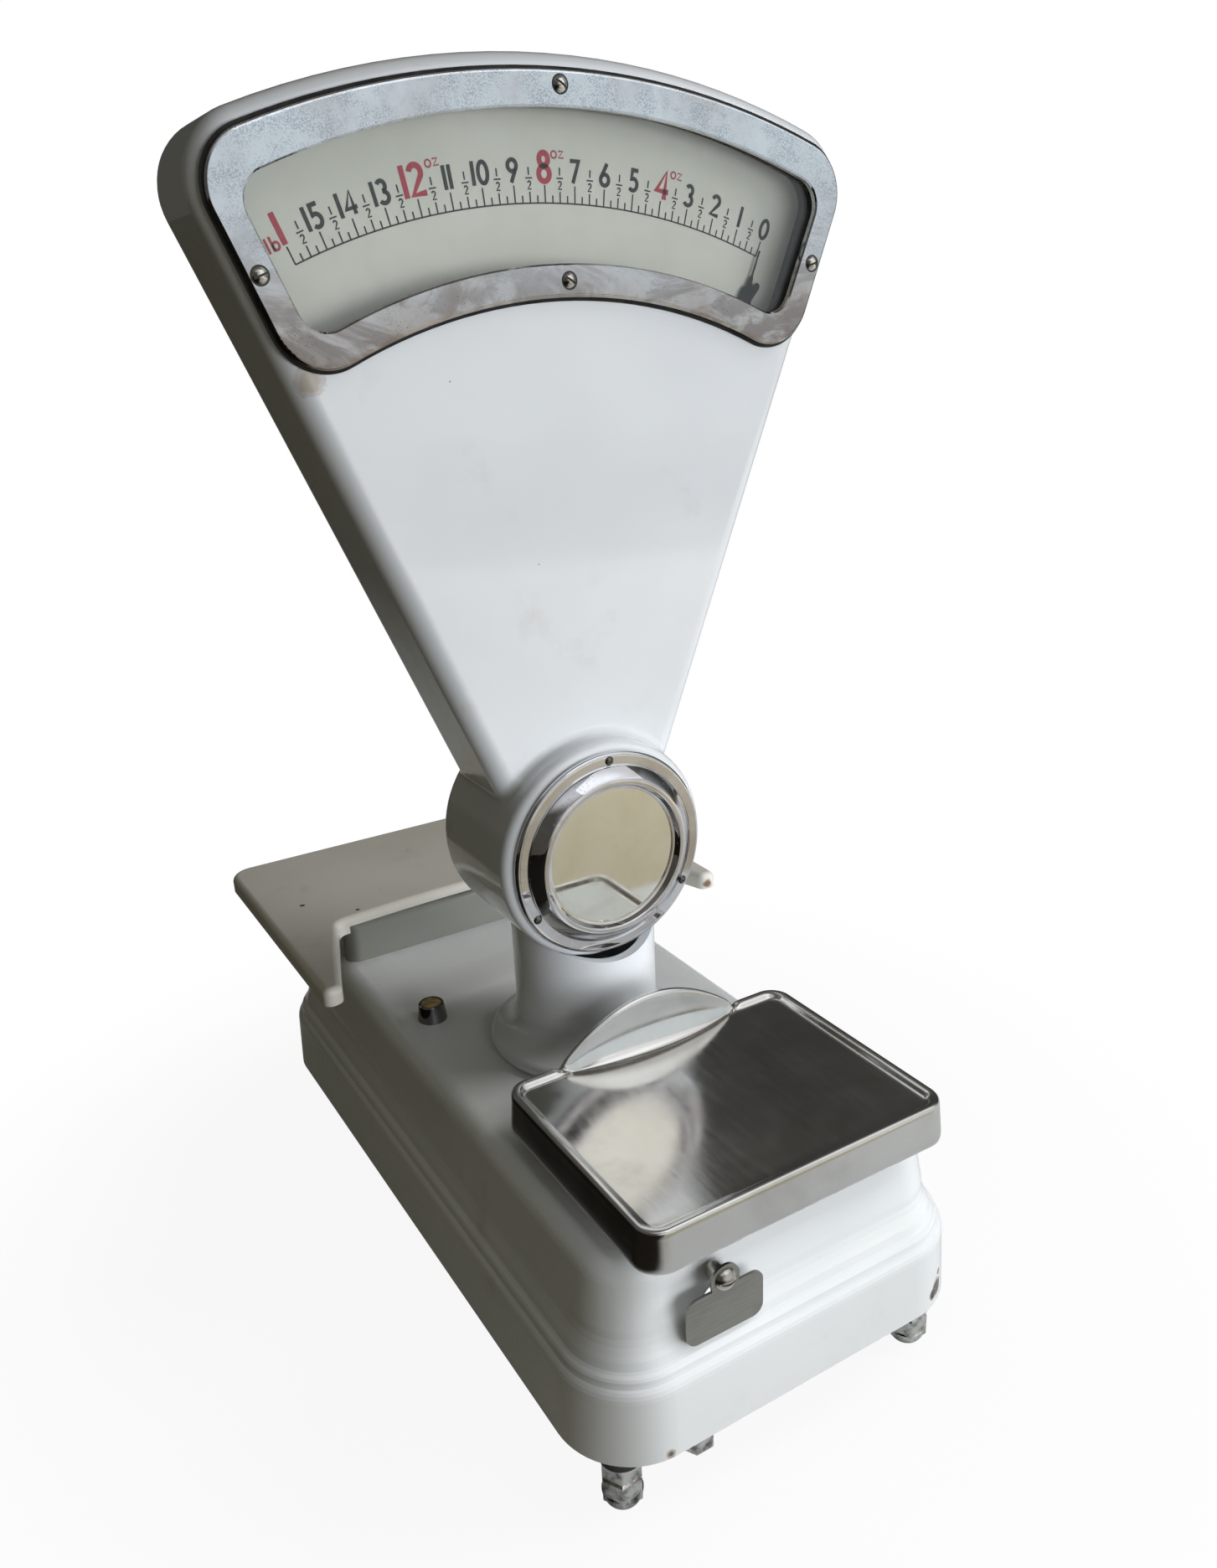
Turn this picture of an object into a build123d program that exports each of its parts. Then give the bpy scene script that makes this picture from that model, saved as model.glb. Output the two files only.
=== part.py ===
from build123d import *
import os
from math import cos, radians, sin, sqrt

# Counter fan scale: a long enamelled base with a weights pan in front and a goods plate behind,
# and a column that carries a round drum and a fan-shaped dial head with a sector chart.
# Frame: origin on the ground at the centre of the plan, X to the right, Y to the rear, Z up.
# All lengths are in millimetres.

os.makedirs("parts", exist_ok=True)

# ---- Driving dimensions -------------------------------------------------------------------

FOOT_HEIGHT = 46.0          # ground to the bottom edge of the plinth
BASE_HALF_WIDTH = 125.5
BASE_FRONT = -249.5
BASE_REAR = 240.0
BASE_CORNER = 44.5
BODY_INSET = 14.0           # plinth face to the foot of the upper body
BODY_FOOT_Z = 117.0         # foot of the upper body, above the two beads
BODY_TAPER = 6.0            # extra inset of the upper body at its top
BASE_HEIGHT = 105.0
WALL = 3.0

HEAD_FACE = -50.5           # front plane of the fan
HEAD_DEPTH = 66.0
PIVOT_Z = 288.0             # axis of the drum and of the pointer
FAN_SLOPE = 0.408           # half width gained per millimetre of height
FAN_APEX_Z = 191.7          # height at which the two sides of the fan would meet
FAN_TOP_CENTRE_Z = 238.0
FAN_TOP_RADIUS = 460.0
FAN_CORNER = 32.0
HEAD_EDGE = 11.0            # rounding of the head's front and rear edges
HEAD_WALL = 4.0

DRUM_RADIUS = 66.5
DRUM_FRONT = -67.0
BOSS_BLEND = 6.0            # concave blend between the drum and the fan face
RING_RADIUS = 61.5
MIRROR_RADIUS = 42.0

COLUMN_Y = -32.0
COLUMN_RADIUS = 44.2
COLUMN_BORE = 38.0
COLUMN_FOOT = 62.0

FULCRUM_Y = 0.0
BEAM_ARM = 177.0            # fulcrum to each end knife
BEAM_Z = 128.0
CHECK_Z = 74.0
BEAM_TRAVEL = 2.5           # degrees of beam swing for a full chart

CHART_RADIUS = 345.0        # pivot to the base line of the scale
CHART_HALF_ANGLE = 22.6     # degrees each side of the vertical
CHART_SETBACK = 17.0

PAN_HALF_WIDTH = 96.7
PAN_FRONT = -252.0
PAN_REAR = -102.0
PAN_RIM_Z = 186.0
PAN_SKIRT = 24.0
PAN_SHEET = 1.2

PLATE_HALF_WIDTH = 148.3
PLATE_REAR = 252.0
PLATE_INNER_EDGE = 118.0    # front edge of the plate between its two wings
PLATE_TIP = 31.5
PLATE_TOP_Z = 197.5
PLATE_FLANGE = 11.5
PLATE_SHEET = 1.4

SHROUD_FRONT = 141.0
SHROUD_REAR = 212.0
SHROUD_HALF_WIDTH = 97.0
SHROUD_TOP_Z = 181.0

FOOT_X = 99.5
FOOT_FRONT_Y = -223.5
FOOT_REAR_Y = 214.0

PLINTH_Z = FOOT_HEIGHT
BASE_TOP = FOOT_HEIGHT + BASE_HEIGHT
HEAD_REAR = HEAD_FACE + HEAD_DEPTH
HEAD_MID = (HEAD_FACE + HEAD_REAR) / 2
CHART_FRONT_Y = HEAD_FACE + CHART_SETBACK
CHART_REAR_Y = HEAD_REAR - CHART_SETBACK
FIT = 0.05                  # radial clearance of a running fit
GAP = 0.3                   # clearance between neighbours on different bodies


# ---- Helpers ------------------------------------------------------------------------------

def save(shape, node):
    """Write one node, with its name as the label."""
    shape.label = node
    export_step(shape, f"parts/{node}.step")


def group(solids):
    """Separate solids kept together in one node."""
    return Compound(children=list(solids))


def at(x, y, z):
    return Location((x, y, z))


def front_plane(y):
    """Plane at y that faces the front: local X is +X, local Y is +Z."""
    return Plane(origin=(0, y, 0), x_dir=(1, 0, 0), z_dir=(0, -1, 0))


def side_plane(x):
    """Plane at x that faces the right: local X is +Y, local Y is +Z."""
    return Plane(origin=(x, 0, 0), x_dir=(0, 1, 0), z_dir=(1, 0, 0))


def extrude_y(face, y0, y1):
    """Extrude an X-Z outline from y0 back to y1."""
    return extrude(front_plane(y1) * face, amount=y1 - y0, dir=(0, -1, 0))


def extrude_x(face, x0, x1):
    """Extrude a Y-Z outline from x0 to x1."""
    return extrude(side_plane(x0) * face, amount=x1 - x0, dir=(1, 0, 0))


def disc_y(radius, x, z, y0, y1):
    """Solid cylinder along Y."""
    return extrude_y(Pos(x, z) * Circle(radius), y0, y1)


def rod_x(radius, y, z, x0, x1):
    """Solid cylinder along X."""
    return extrude_x(Pos(y, z) * Circle(radius), x0, x1)


def post(radius, x, y, z0, z1):
    """Solid cylinder along Z."""
    return at(x, y, z0) * Cylinder(radius, z1 - z0, align=(Align.CENTER, Align.CENTER, Align.MIN))


def block(x0, x1, y0, y1, z0, z1):
    return at(x0, y0, z0) * Box(x1 - x0, y1 - y0, z1 - z0, align=(Align.MIN, Align.MIN, Align.MIN))


def hex_prism(across_flats, x, y, z0, z1):
    outline = RegularPolygon(across_flats / 2, 6, major_radius=False)
    return extrude(Plane(origin=(x, y, z0)) * outline, amount=z1 - z0)


def plan_face(half_width, y0, y1, corner, z):
    """Rounded rectangle in plan at height z."""
    outline = RectangleRounded(2 * half_width, y1 - y0, corner)
    return Plane(origin=(0, (y0 + y1) / 2, z)) * outline


def slotted_screw(head_radius, head_height, shank_radius, shank_length):
    """Round-head screw along -Y: its head's seat is at y = 0 and its head stands out to -Y."""
    dome_radius = (head_radius**2 + head_height**2) / (2 * head_height)
    dome = at(0, dome_radius - head_height, 0) * Sphere(dome_radius)
    head = dome & disc_y(head_radius, 0, 0, -head_height, 0)
    slot = block(-head_radius, head_radius, -head_height, -head_height * 0.55, -0.5, 0.5)
    return head - slot + disc_y(shank_radius, 0, 0, 0, shank_length)


# ---- Base casing --------------------------------------------------------------------------

def base_section(inset, z):
    return plan_face(BASE_HALF_WIDTH - inset, BASE_FRONT + inset, BASE_REAR - inset,
                     BASE_CORNER - inset * 0.9, z)


# Inset and height of each section up the flare, from the plinth's face to the upper body:
# a rounded shoulder, two low beads with a groove between them, and a cove
FLARE = ((1.6, 84.0), (1.9, 86.2), (2.7, 88.2), (3.7, 89.7), (4.6, 90.6), (5.0, 92.0), (5.3, 94.0),
         (6.1, 95.4), (7.5, 96.6), (8.5, 97.8), (9.1, 99.6), (9.9, 102.0), (11.2, 105.0),
         (12.6, 108.6), (13.6, 112.6), (BODY_INSET, BODY_FOOT_Z))


def base_block(shrink, top_z, top_round):
    """Outer form of the base, or its hollow when shrunk by the wall."""
    sections = ((0.0, PLINTH_Z),) + FLARE
    form = None
    for (inset0, z0), (inset1, z1) in zip(sections, sections[1:]):
        slab = loft([base_section(inset0 + shrink, z0), base_section(inset1 + shrink, z1)])
        form = slab if form is None else form + slab
    body = loft([base_section(BODY_INSET + shrink, BODY_FOOT_Z),
                 base_section(BODY_INSET + BODY_TAPER + shrink, top_z)])
    return form + fillet(body.faces().sort_by(Axis.Z)[-1].edges(), top_round)


def base_casing():
    outer = base_block(0.0, BASE_TOP, 13.0)
    hollow = base_block(WALL, BASE_TOP - WALL, 10.0)
    casing = outer - hollow
    casing -= post(COLUMN_BORE, 0, COLUMN_Y, BASE_TOP - 10, BASE_TOP + 1)
    casing -= block(-WEIGHTS_STEM_X - 9, WEIGHTS_STEM_X + 9, -BEAM_ARM - 14, -BEAM_ARM + 14,
                    BASE_TOP - 10, BASE_TOP + 1)
    casing -= block(-SHROUD_HALF_WIDTH + 12, SHROUD_HALF_WIDTH - 12, SHROUD_FRONT + 12,
                    SHROUD_REAR - 12, BASE_TOP - 10, BASE_TOP + 1)
    casing -= post(LEVEL_STEM, LEVEL_X, LEVEL_Y, BASE_TOP - 10, BASE_TOP + 1)
    casing -= disc_y(ADJUSTER_HOLE, COVER_X, COVER_Z - 19, BASE_FRONT, BASE_FRONT + 40)
    casing -= disc_y(COVER_SCREW_SHANK, COVER_X, COVER_Z, BASE_FRONT, BASE_FRONT + 40)
    return casing


WEIGHTS_STEM_X = 8.0
LEVEL_X = -77.0
LEVEL_Y = 40.0
LEVEL_RADIUS = 9.7
LEVEL_HEIGHT = 11.5
LEVEL_STEM = 4.0
COVER_X = -47.0
COVER_Z = 134.5
COVER_WIDTH = 46.5
COVER_BODY_TOP = 130.0
COVER_BODY_BOTTOM = 102.0
COVER_SCREW_SHANK = 2.4
ADJUSTER_HOLE = 9.0
# Front face of the upper body at the height of the cover's screw
COVER_WALL_Y = BASE_FRONT + BODY_INSET + BODY_TAPER * (
    (COVER_Z - BODY_FOOT_Z) / (BASE_TOP - BODY_FOOT_Z))


def rear_shroud():
    """Raised housing on the base top, under the goods plate."""
    outer = extrude(plan_face(SHROUD_HALF_WIDTH, SHROUD_FRONT, SHROUD_REAR, 10, BASE_TOP),
                    amount=SHROUD_TOP_Z - BASE_TOP)
    outer = fillet(outer.faces().sort_by(Axis.Z)[-1].edges(), 4)
    inner = extrude(plan_face(SHROUD_HALF_WIDTH - 2.5, SHROUD_FRONT + 2.5, SHROUD_REAR - 2.5, 7.5,
                              BASE_TOP), amount=SHROUD_TOP_Z - BASE_TOP - 2.5)
    shell = outer - inner
    slot = block(-GOODS_STEM_X - 9, GOODS_STEM_X + 9, BEAM_ARM - 14, BEAM_ARM + 14,
                 SHROUD_TOP_Z - 6, SHROUD_TOP_Z + 1)
    return shell - slot


GOODS_STEM_X = 8.0


# ---- Frame, feet and beam stand -----------------------------------------------------------

FRAME_Z = 52.0
FRAME_THICK = 7.0
FOOT_SCREW = 5.0
FOOT_PLACES = {
    "front_left": (-FOOT_X, FOOT_FRONT_Y), "front_right": (FOOT_X, FOOT_FRONT_Y),
    "rear_left": (-FOOT_X, FOOT_REAR_Y), "rear_right": (FOOT_X, FOOT_REAR_Y),
}
BOLT_X = -62.0
BOLT_Y = -236.2


RAIL_INNER_X = 84.0
FOOT_HEX_TOP = 23.0
LOCKNUT_TOP = 34.0
FRAME_BARS = ((-250, -208), (-16, 16), (200, 250))


FRAME_INSET = WALL + GAP + FLARE[0][0]


def frame_outline(z0, height):
    """Prism that stays inside the plinth's wall."""
    outline = plan_face(BASE_HALF_WIDTH - FRAME_INSET, BASE_FRONT + FRAME_INSET,
                        BASE_REAR - FRAME_INSET, BASE_CORNER - FRAME_INSET, z0)
    return extrude(outline, amount=height)


def frame_side_rails():
    """Two long rails, each with a threaded boss over its two feet."""
    top = FRAME_Z + FRAME_THICK
    rails = frame_outline(FRAME_Z, FRAME_THICK)
    rails -= block(-RAIL_INNER_X, RAIL_INNER_X, -260, 260, FRAME_Z - 1, top + 1)
    for x, y in FOOT_PLACES.values():
        rails += post(12, x, y, LOCKNUT_TOP, top + 13) & frame_outline(LOCKNUT_TOP, 60)
    for x, y in FOOT_PLACES.values():
        rails -= post(FOOT_SCREW + FIT, x, y, LOCKNUT_TOP - 1, top + 14)
    return rails


def frame_cross_bars():
    """Three bars that join the rails: front, middle and rear."""
    plate = frame_outline(FRAME_Z, FRAME_THICK)
    top = FRAME_Z + FRAME_THICK
    bars = [plate & block(-RAIL_INNER_X, RAIL_INNER_X, y0, y1, FRAME_Z, top)
            for y0, y1 in FRAME_BARS]
    bars[0] -= post(5.2, BOLT_X, BOLT_Y, FRAME_Z - 1, top + 1)
    return group(bars)


def foot(x, y):
    """Levelling foot: a domed nut shape on a screw."""
    radius = 11.0
    dome = at(x, y, radius) * Sphere(radius) & block(x - 20, x + 20, y - 20, y + 20, 0, radius)
    collar = hex_prism(20.5, x, y, radius - 2.5, FOOT_HEX_TOP)
    collar = chamfer(collar.faces().sort_by(Axis.Z)[-1].edges(), 1.2)
    screw = post(FOOT_SCREW, x, y, FOOT_HEX_TOP - 1, FRAME_Z + FRAME_THICK + 16)
    return dome + collar + screw


def foot_locknut(x, y):
    nut = hex_prism(20.5, x, y, FOOT_HEX_TOP + GAP, LOCKNUT_TOP)
    nut = chamfer(nut.faces().sort_by(Axis.Z)[0].edges(), 1.2)
    return nut - post(FOOT_SCREW + FIT, x, y, FOOT_HEX_TOP, LOCKNUT_TOP + 1)


def frame_bolt():
    head = hex_prism(18, BOLT_X, BOLT_Y, FRAME_Z - 21, FRAME_Z)
    head = chamfer(head.faces().sort_by(Axis.Z)[0].edges(), 1.2)
    return head + post(5.1, BOLT_X, BOLT_Y, FRAME_Z - 1, FRAME_Z + FRAME_THICK + 6)


STAND_X = 30.0              # centre of each fulcrum upright from the middle
STAND_THICK = 9.0
KNIFE_SIZE = 4.0
SEAT_HALF = 6.9             # half depth of a bearing block along Y


def knife(x0, x1, y, z):
    """Square bar on edge."""
    size = KNIFE_SIZE
    outline = Pos(y, z) * Polygon((0, size), (size, 0), (0, -size), (-size, 0), align=None)
    return extrude_x(outline, x0, x1)


def vee_seat(x0, x1, y, z, up):
    """Bearing block with a vee that opens up or down towards the knife edge at (y, z)."""
    sign = 1 if up else -1
    half = SEAT_HALF
    body = block(x0, x1, y - half, y + half, min(z - sign * 9, z - sign * 1.2),
                 max(z - sign * 9, z - sign * 1.2))
    tip = (KNIFE_SIZE + 0.12)
    vee = Pos(y, z) * Polygon((0, -sign * (tip + 0.3)), (tip + 2.2, sign * 2.0),
                              (-tip - 2.2, sign * 2.0), align=None)
    return body - extrude_x(vee, x0 - 1, x1 + 1)


def fulcrum_stand():
    """Two uprights on the frame, joined at their feet, with a low pair for the check beam."""
    top = FRAME_Z + FRAME_THICK
    parts = block(-STAND_X - 12, STAND_X + 12, -13, 13, top, top + 3)
    for side in (-1, 1):
        x0 = side * STAND_X - STAND_THICK / 2
        x1 = side * STAND_X + STAND_THICK / 2
        parts += block(x0, x1, -11, 11, top + 3, BEAM_Z - 9)
        parts -= rod_x(KNIFE_SIZE + 1.5, FULCRUM_Y, CHECK_Z, x0 - 1, x1 + 1)
    return parts


def fulcrum_bearings():
    seats = []
    for side in (-1, 1):
        x0 = side * STAND_X - STAND_THICK / 2
        seats.append(vee_seat(x0, x0 + STAND_THICK, FULCRUM_Y, BEAM_Z, True))
    return group(seats)


# ---- Beam system --------------------------------------------------------------------------

BEAM_X = 18.0               # centre of each beam plate from the middle
BEAM_PLATE = 5.0
KNIFE_REACH = STAND_X + STAND_THICK / 2 + 1.0
ROD_Y = -60.0


def beam_outline(depth_middle, depth_end, reach):
    return Polygon((-reach, -depth_end), (-12, -depth_middle), (12, -depth_middle),
                   (reach, -depth_end), (reach, depth_end), (12, depth_middle),
                   (-12, depth_middle), (-reach, depth_end), align=None)


def main_beam():
    """Two plates with spacers, clear of the carrier stems that stand between them."""
    face = Pos(0, BEAM_Z) * beam_outline(15, 8, BEAM_ARM + 12)
    beam = None
    for side in (-1, 1):
        x0 = side * BEAM_X - BEAM_PLATE / 2
        plate = extrude_x(face, x0, x0 + BEAM_PLATE)
        for y in (-BEAM_ARM, 0.0, BEAM_ARM):
            plate -= knife(x0 - 1, x0 + BEAM_PLATE + 1, y, BEAM_Z)
        for y in (-130, -100, 60, 95, 130):
            plate -= rod_x(4.5, y, BEAM_Z, x0 - 1, x0 + BEAM_PLATE + 1)
        beam = plate if beam is None else beam + plate
    for y in (-40, 40):
        beam += rod_x(4, y, BEAM_Z, -BEAM_X, BEAM_X)
    return beam


def beam_knives():
    """Fulcrum knife with its edge down, and an end knife at each arm."""
    end = BEAM_X + BEAM_PLATE / 2
    return group([knife(-KNIFE_REACH, KNIFE_REACH, FULCRUM_Y, BEAM_Z),
                  knife(-end, end, -BEAM_ARM, BEAM_Z),
                  knife(-end, end, BEAM_ARM, BEAM_Z)])


def rod_pin():
    """Cross pin between the beam plates that lifts the pointer rod."""
    reach = BEAM_X - BEAM_PLATE / 2
    return rod_x(2.5, ROD_Y, BEAM_Z, -reach, reach)


def balance_weight():
    """Threaded bar beside the beam with the balance ball that sets zero."""
    x = BEAM_X + BEAM_PLATE / 2 + 7
    bar = extrude_y(Pos(x, BEAM_Z) * Circle(2.5), -160, -30)
    ball = extrude_y(Pos(x, BEAM_Z) * Circle(6.5), -112, -88)
    lugs = block(BEAM_X + BEAM_PLATE / 2, x, -34, -30, BEAM_Z - 4, BEAM_Z + 4)
    lugs += block(BEAM_X + BEAM_PLATE / 2, x, -160, -156, BEAM_Z - 4, BEAM_Z + 4)
    return bar + ball + lugs


def check_beam():
    """Lower beam that keeps both carriers upright."""
    face = Pos(0, CHECK_Z) * beam_outline(6, 5, BEAM_ARM + 8)
    beam = None
    for side in (-1, 1):
        x0 = side * BEAM_X - BEAM_PLATE / 2
        plate = extrude_x(face, x0, x0 + BEAM_PLATE)
        beam = plate if beam is None else beam + plate
    for y in (-BEAM_ARM, BEAM_ARM):
        beam += rod_x(3, y, CHECK_Z, -BEAM_X, BEAM_X)
    beam += rod_x(KNIFE_SIZE, FULCRUM_Y, CHECK_Z, -KNIFE_REACH, KNIFE_REACH)
    return beam


STEM_DEPTH = 11.0           # half depth of a carrier stem along Y


def carrier_stem(y, half_x, z_top):
    """Flat stem between the beam plates, with a window for each knife."""
    stem = block(-half_x, half_x, y - STEM_DEPTH, y + STEM_DEPTH, CHECK_Z - 12, z_top)
    stem -= block(-half_x - 1, half_x + 1, y - 7, y + 7, BEAM_Z - 9,
                  BEAM_Z + 9)
    stem -= rod_x(3 + 0.35, y, CHECK_Z, -half_x - 1, half_x + 1)
    return stem


def carrier_bearing(y, half_x):
    """Steel vee that hangs the carrier on its end knife."""
    return vee_seat(-half_x + 0.5, half_x - 0.5, y, BEAM_Z, False)


def weights_carrier():
    """Stem and four-armed spider under the weights pan."""
    floor_z = PAN_RIM_Z - 3.5 - PAN_SHEET
    carrier = carrier_stem(-BEAM_ARM, WEIGHTS_STEM_X, floor_z - 8)
    carrier += block(-62, 62, -BEAM_ARM - 9, -BEAM_ARM + 9, floor_z - 12, floor_z - 4)
    carrier += block(-9, 9, -BEAM_ARM - 44, -BEAM_ARM + 44, floor_z - 12, floor_z - 4)
    return carrier


def stud_places(span_x, span_y, y):
    return [(-span_x, y), (span_x, y), (0, y - span_y), (0, y + span_y)]


def weights_studs():
    floor_z = PAN_RIM_Z - 3.5 - PAN_SHEET
    return group([post(5, x, y, floor_z - 4, floor_z)
                  for x, y in stud_places(54, 37, -BEAM_ARM)])


PAD_HEIGHT = 1.6
ARM_THICK = 4.5


def goods_carrier():
    """Stem and cross arms under the goods plate."""
    arm_top = PLATE_TOP_Z - PLATE_SHEET - PAD_HEIGHT
    carrier = carrier_stem(BEAM_ARM, GOODS_STEM_X, arm_top)
    carrier += block(-72, 72, BEAM_ARM - 9, BEAM_ARM + 9, arm_top - ARM_THICK, arm_top)
    carrier += block(-9, 9, BEAM_ARM - 42, BEAM_ARM + 42, arm_top - ARM_THICK, arm_top)
    return carrier


# ---- Weights pan --------------------------------------------------------------------------

LIP_HALF = 60.0
LIP_HEIGHT = 27.0
LIP_SAG = 11.0


def weights_pan():
    """Pressed tray with a recessed floor, turned-down skirt and a raised lip at the column."""
    skirt_z = PAN_RIM_Z - PAN_SKIRT
    corner = 15.0
    outer = extrude(plan_face(PAN_HALF_WIDTH, PAN_FRONT, PAN_REAR, corner, skirt_z),
                    amount=PAN_SKIRT)
    outer = fillet(outer.faces().sort_by(Axis.Z)[-1].edges(), 3.0)
    hollow = extrude(plan_face(PAN_HALF_WIDTH - PAN_SHEET, PAN_FRONT + PAN_SHEET,
                               PAN_REAR - PAN_SHEET, corner - PAN_SHEET, skirt_z),
                     amount=PAN_SKIRT - 3.5 - PAN_SHEET)
    rim = 6.5
    recess = extrude(plan_face(PAN_HALF_WIDTH - rim, PAN_FRONT + rim, PAN_REAR - rim, corner - 5,
                               PAN_RIM_Z - 3.5), amount=10)
    tray = outer - hollow - recess
    return tray + pan_lip()


def arc_radius(half, sag):
    return (half * half + sag * sag) / (2 * sag)


def pan_lip():
    """Upright lens-shaped guard, bowed towards the front, along the pan's rear edge."""
    bow = arc_radius(LIP_HALF, LIP_SAG)
    centre_y = PAN_REAR - 5.0 - LIP_SAG + bow
    z0 = PAN_RIM_Z - 3.5
    wall = post(bow, 0, centre_y, z0, z0 + LIP_HEIGHT + 4)
    wall -= post(bow - 2.0, 0, centre_y, z0 - 1, z0 + LIP_HEIGHT + 5)
    wall &= block(-LIP_HALF, LIP_HALF, PAN_REAR - 30, PAN_REAR - 3.5, z0, z0 + 40)
    crown = arc_radius(LIP_HALF, LIP_HEIGHT)
    wall &= disc_y(crown, 0, z0 + 3.5 + LIP_HEIGHT - crown, PAN_REAR - 40, PAN_REAR + 5)
    return wall


# ---- Goods plate --------------------------------------------------------------------------

PLATE_ROLL = 4.5            # rounding of the plate's top edge down to its flange
PLATE_TIP_WIDTH = 12.0


def plate_face(z):
    """Plate with two forward wings, and a wide bay between them that clears the drum."""
    half = PLATE_HALF_WIDTH
    right = [(half, PLATE_REAR), (half, PLATE_TIP), (half - PLATE_TIP_WIDTH, PLATE_TIP + 2),
             (127.0, 64.0), (108.0, PLATE_INNER_EDGE + 2)]
    left = [(-x, y) for x, y in reversed(right)]
    bay_edge = ThreePointArc(right[-1], (0, PLATE_INNER_EDGE + 7), left[0])
    face = make_face(Polyline(left[-1], right[0]) + Polyline(*right) + bay_edge + Polyline(*left))
    for radius, (corner_x, corner_y) in ((16, right[0]), (5.5, right[1]), (5.5, right[2]),
                                         (40, right[3]), (9, right[4])):
        corners = [v for v in face.vertices()
                   if abs(abs(v.X) - corner_x) < 0.1 and abs(v.Y - corner_y) < 0.1]
        face = fillet(corners, radius)
    return Plane(origin=(0, 0, z)) * face


def goods_plate():
    z0 = PLATE_TOP_Z - PLATE_FLANGE
    outer = extrude(plate_face(z0), amount=PLATE_FLANGE)
    outer = fillet(outer.faces().sort_by(Axis.Z)[-1].edges(), PLATE_ROLL)
    inner = extrude(offset(plate_face(z0), amount=-PLATE_SHEET), amount=PLATE_FLANGE - PLATE_SHEET)
    inner = fillet(inner.faces().sort_by(Axis.Z)[-1].edges(), PLATE_ROLL - PLATE_SHEET)
    shallow = block(-100, 100, PLATE_INNER_EDGE - 3, PLATE_INNER_EDGE + 12, z0 - 1, z0 + 5)
    return outer - inner - shallow


def goods_pads():
    under = PLATE_TOP_Z - PLATE_SHEET
    return group([post(6, x, y, under - PAD_HEIGHT, under)
                  for x, y in stud_places(64, 34, BEAM_ARM)])


# ---- Column -------------------------------------------------------------------------------

def column():
    """Hollow column with a rolled foot; its top is scooped to seat the drum."""
    seat = 9.0
    profile = make_face(
        Polyline((COLUMN_BORE, BASE_TOP), (COLUMN_FOOT - 4, BASE_TOP))
        + ThreePointArc((COLUMN_FOOT - 4, BASE_TOP), (COLUMN_FOOT, BASE_TOP + 4.5),
                        (COLUMN_FOOT - 4, BASE_TOP + seat))
        + ThreePointArc((COLUMN_FOOT - 4, BASE_TOP + seat), (COLUMN_RADIUS + 5.2, BASE_TOP + 14.5),
                        (COLUMN_RADIUS, BASE_TOP + 29))
        + Polyline((COLUMN_RADIUS, BASE_TOP + 29), (COLUMN_RADIUS, PIVOT_Z - 20),
                   (COLUMN_BORE, PIVOT_Z - 20), (COLUMN_BORE, BASE_TOP)))
    tube = revolve(Plane.XZ * profile, Axis.Z)
    tube = at(0, COLUMN_Y, 0) * tube
    return tube - disc_y(DRUM_RADIUS + FIT, 0, PIVOT_Z, -120, 60)


# ---- Dial head ----------------------------------------------------------------------------

def sector_face(slope, apex_z, top_centre, top_radius, foot_z, corner):
    """Fan outline: two straight sides, a top arc and rounded upper corners."""
    # Corner where a side meets the top arc: x = slope (z - apex), x^2 + (z - centre)^2 = r^2
    a = 1 + slope**2
    b = -2 * (slope**2 * apex_z + top_centre)
    c = slope**2 * apex_z**2 + top_centre**2 - top_radius**2
    z = (-b + sqrt(b * b - 4 * a * c)) / (2 * a)
    x = slope * (z - apex_z)
    foot_x = slope * (foot_z - apex_z)
    edges = (Polyline((-x, z), (-foot_x, foot_z), (foot_x, foot_z), (x, z))
             + ThreePointArc((x, z), (0, top_centre + top_radius), (-x, z)))
    face = make_face(edges)
    if corner <= 0:
        return face
    return fillet([v for v in face.vertices() if v.Z > z - 2 or v.Y > z - 2], corner)


def window_face(inset):
    """Curved window outline: concentric with the chart, inset from the bezel's outer edge."""
    share = inset / 15.5
    top_centre = 238.0 + 38.4 * share
    top_radius = 451.0 - 54.3 * share
    low_centre = 307.4 - 2.4 * share
    low_radius = 280.8 + 18.2 * share
    slope = 0.40 + 0.02 * share
    apex = 195.5 + 55.4 * share
    corner = 26.0 - 12.0 * share

    def meet(centre, radius):
        a = 1 + slope**2
        b = -2 * (slope**2 * apex + centre)
        c = slope**2 * apex**2 + centre**2 - radius**2
        z = (-b + sqrt(b * b - 4 * a * c)) / (2 * a)
        return slope * (z - apex), z

    x1, z1 = meet(top_centre, top_radius)
    x0, z0 = meet(low_centre, low_radius)
    edges = (ThreePointArc((x1, z1), (0, top_centre + top_radius), (-x1, z1))
             + Line((-x1, z1), (-x0, z0))
             + ThreePointArc((-x0, z0), (0, low_centre + low_radius), (x0, z0))
             + Line((x0, z0), (x1, z1)))
    face = make_face(edges)
    return fillet(face.vertices(), corner)


def head_form(shrink, y0, y1):
    """Fan block from y0 to y1, inset all round by shrink."""
    normal = sqrt(1 + FAN_SLOPE**2)
    face = sector_face(FAN_SLOPE, FAN_APEX_Z + shrink * normal / FAN_SLOPE, FAN_TOP_CENTRE_Z,
                       FAN_TOP_RADIUS - shrink, PIVOT_Z - 8, FAN_CORNER - shrink)
    return extrude_y(face, y0, y1)


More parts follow.
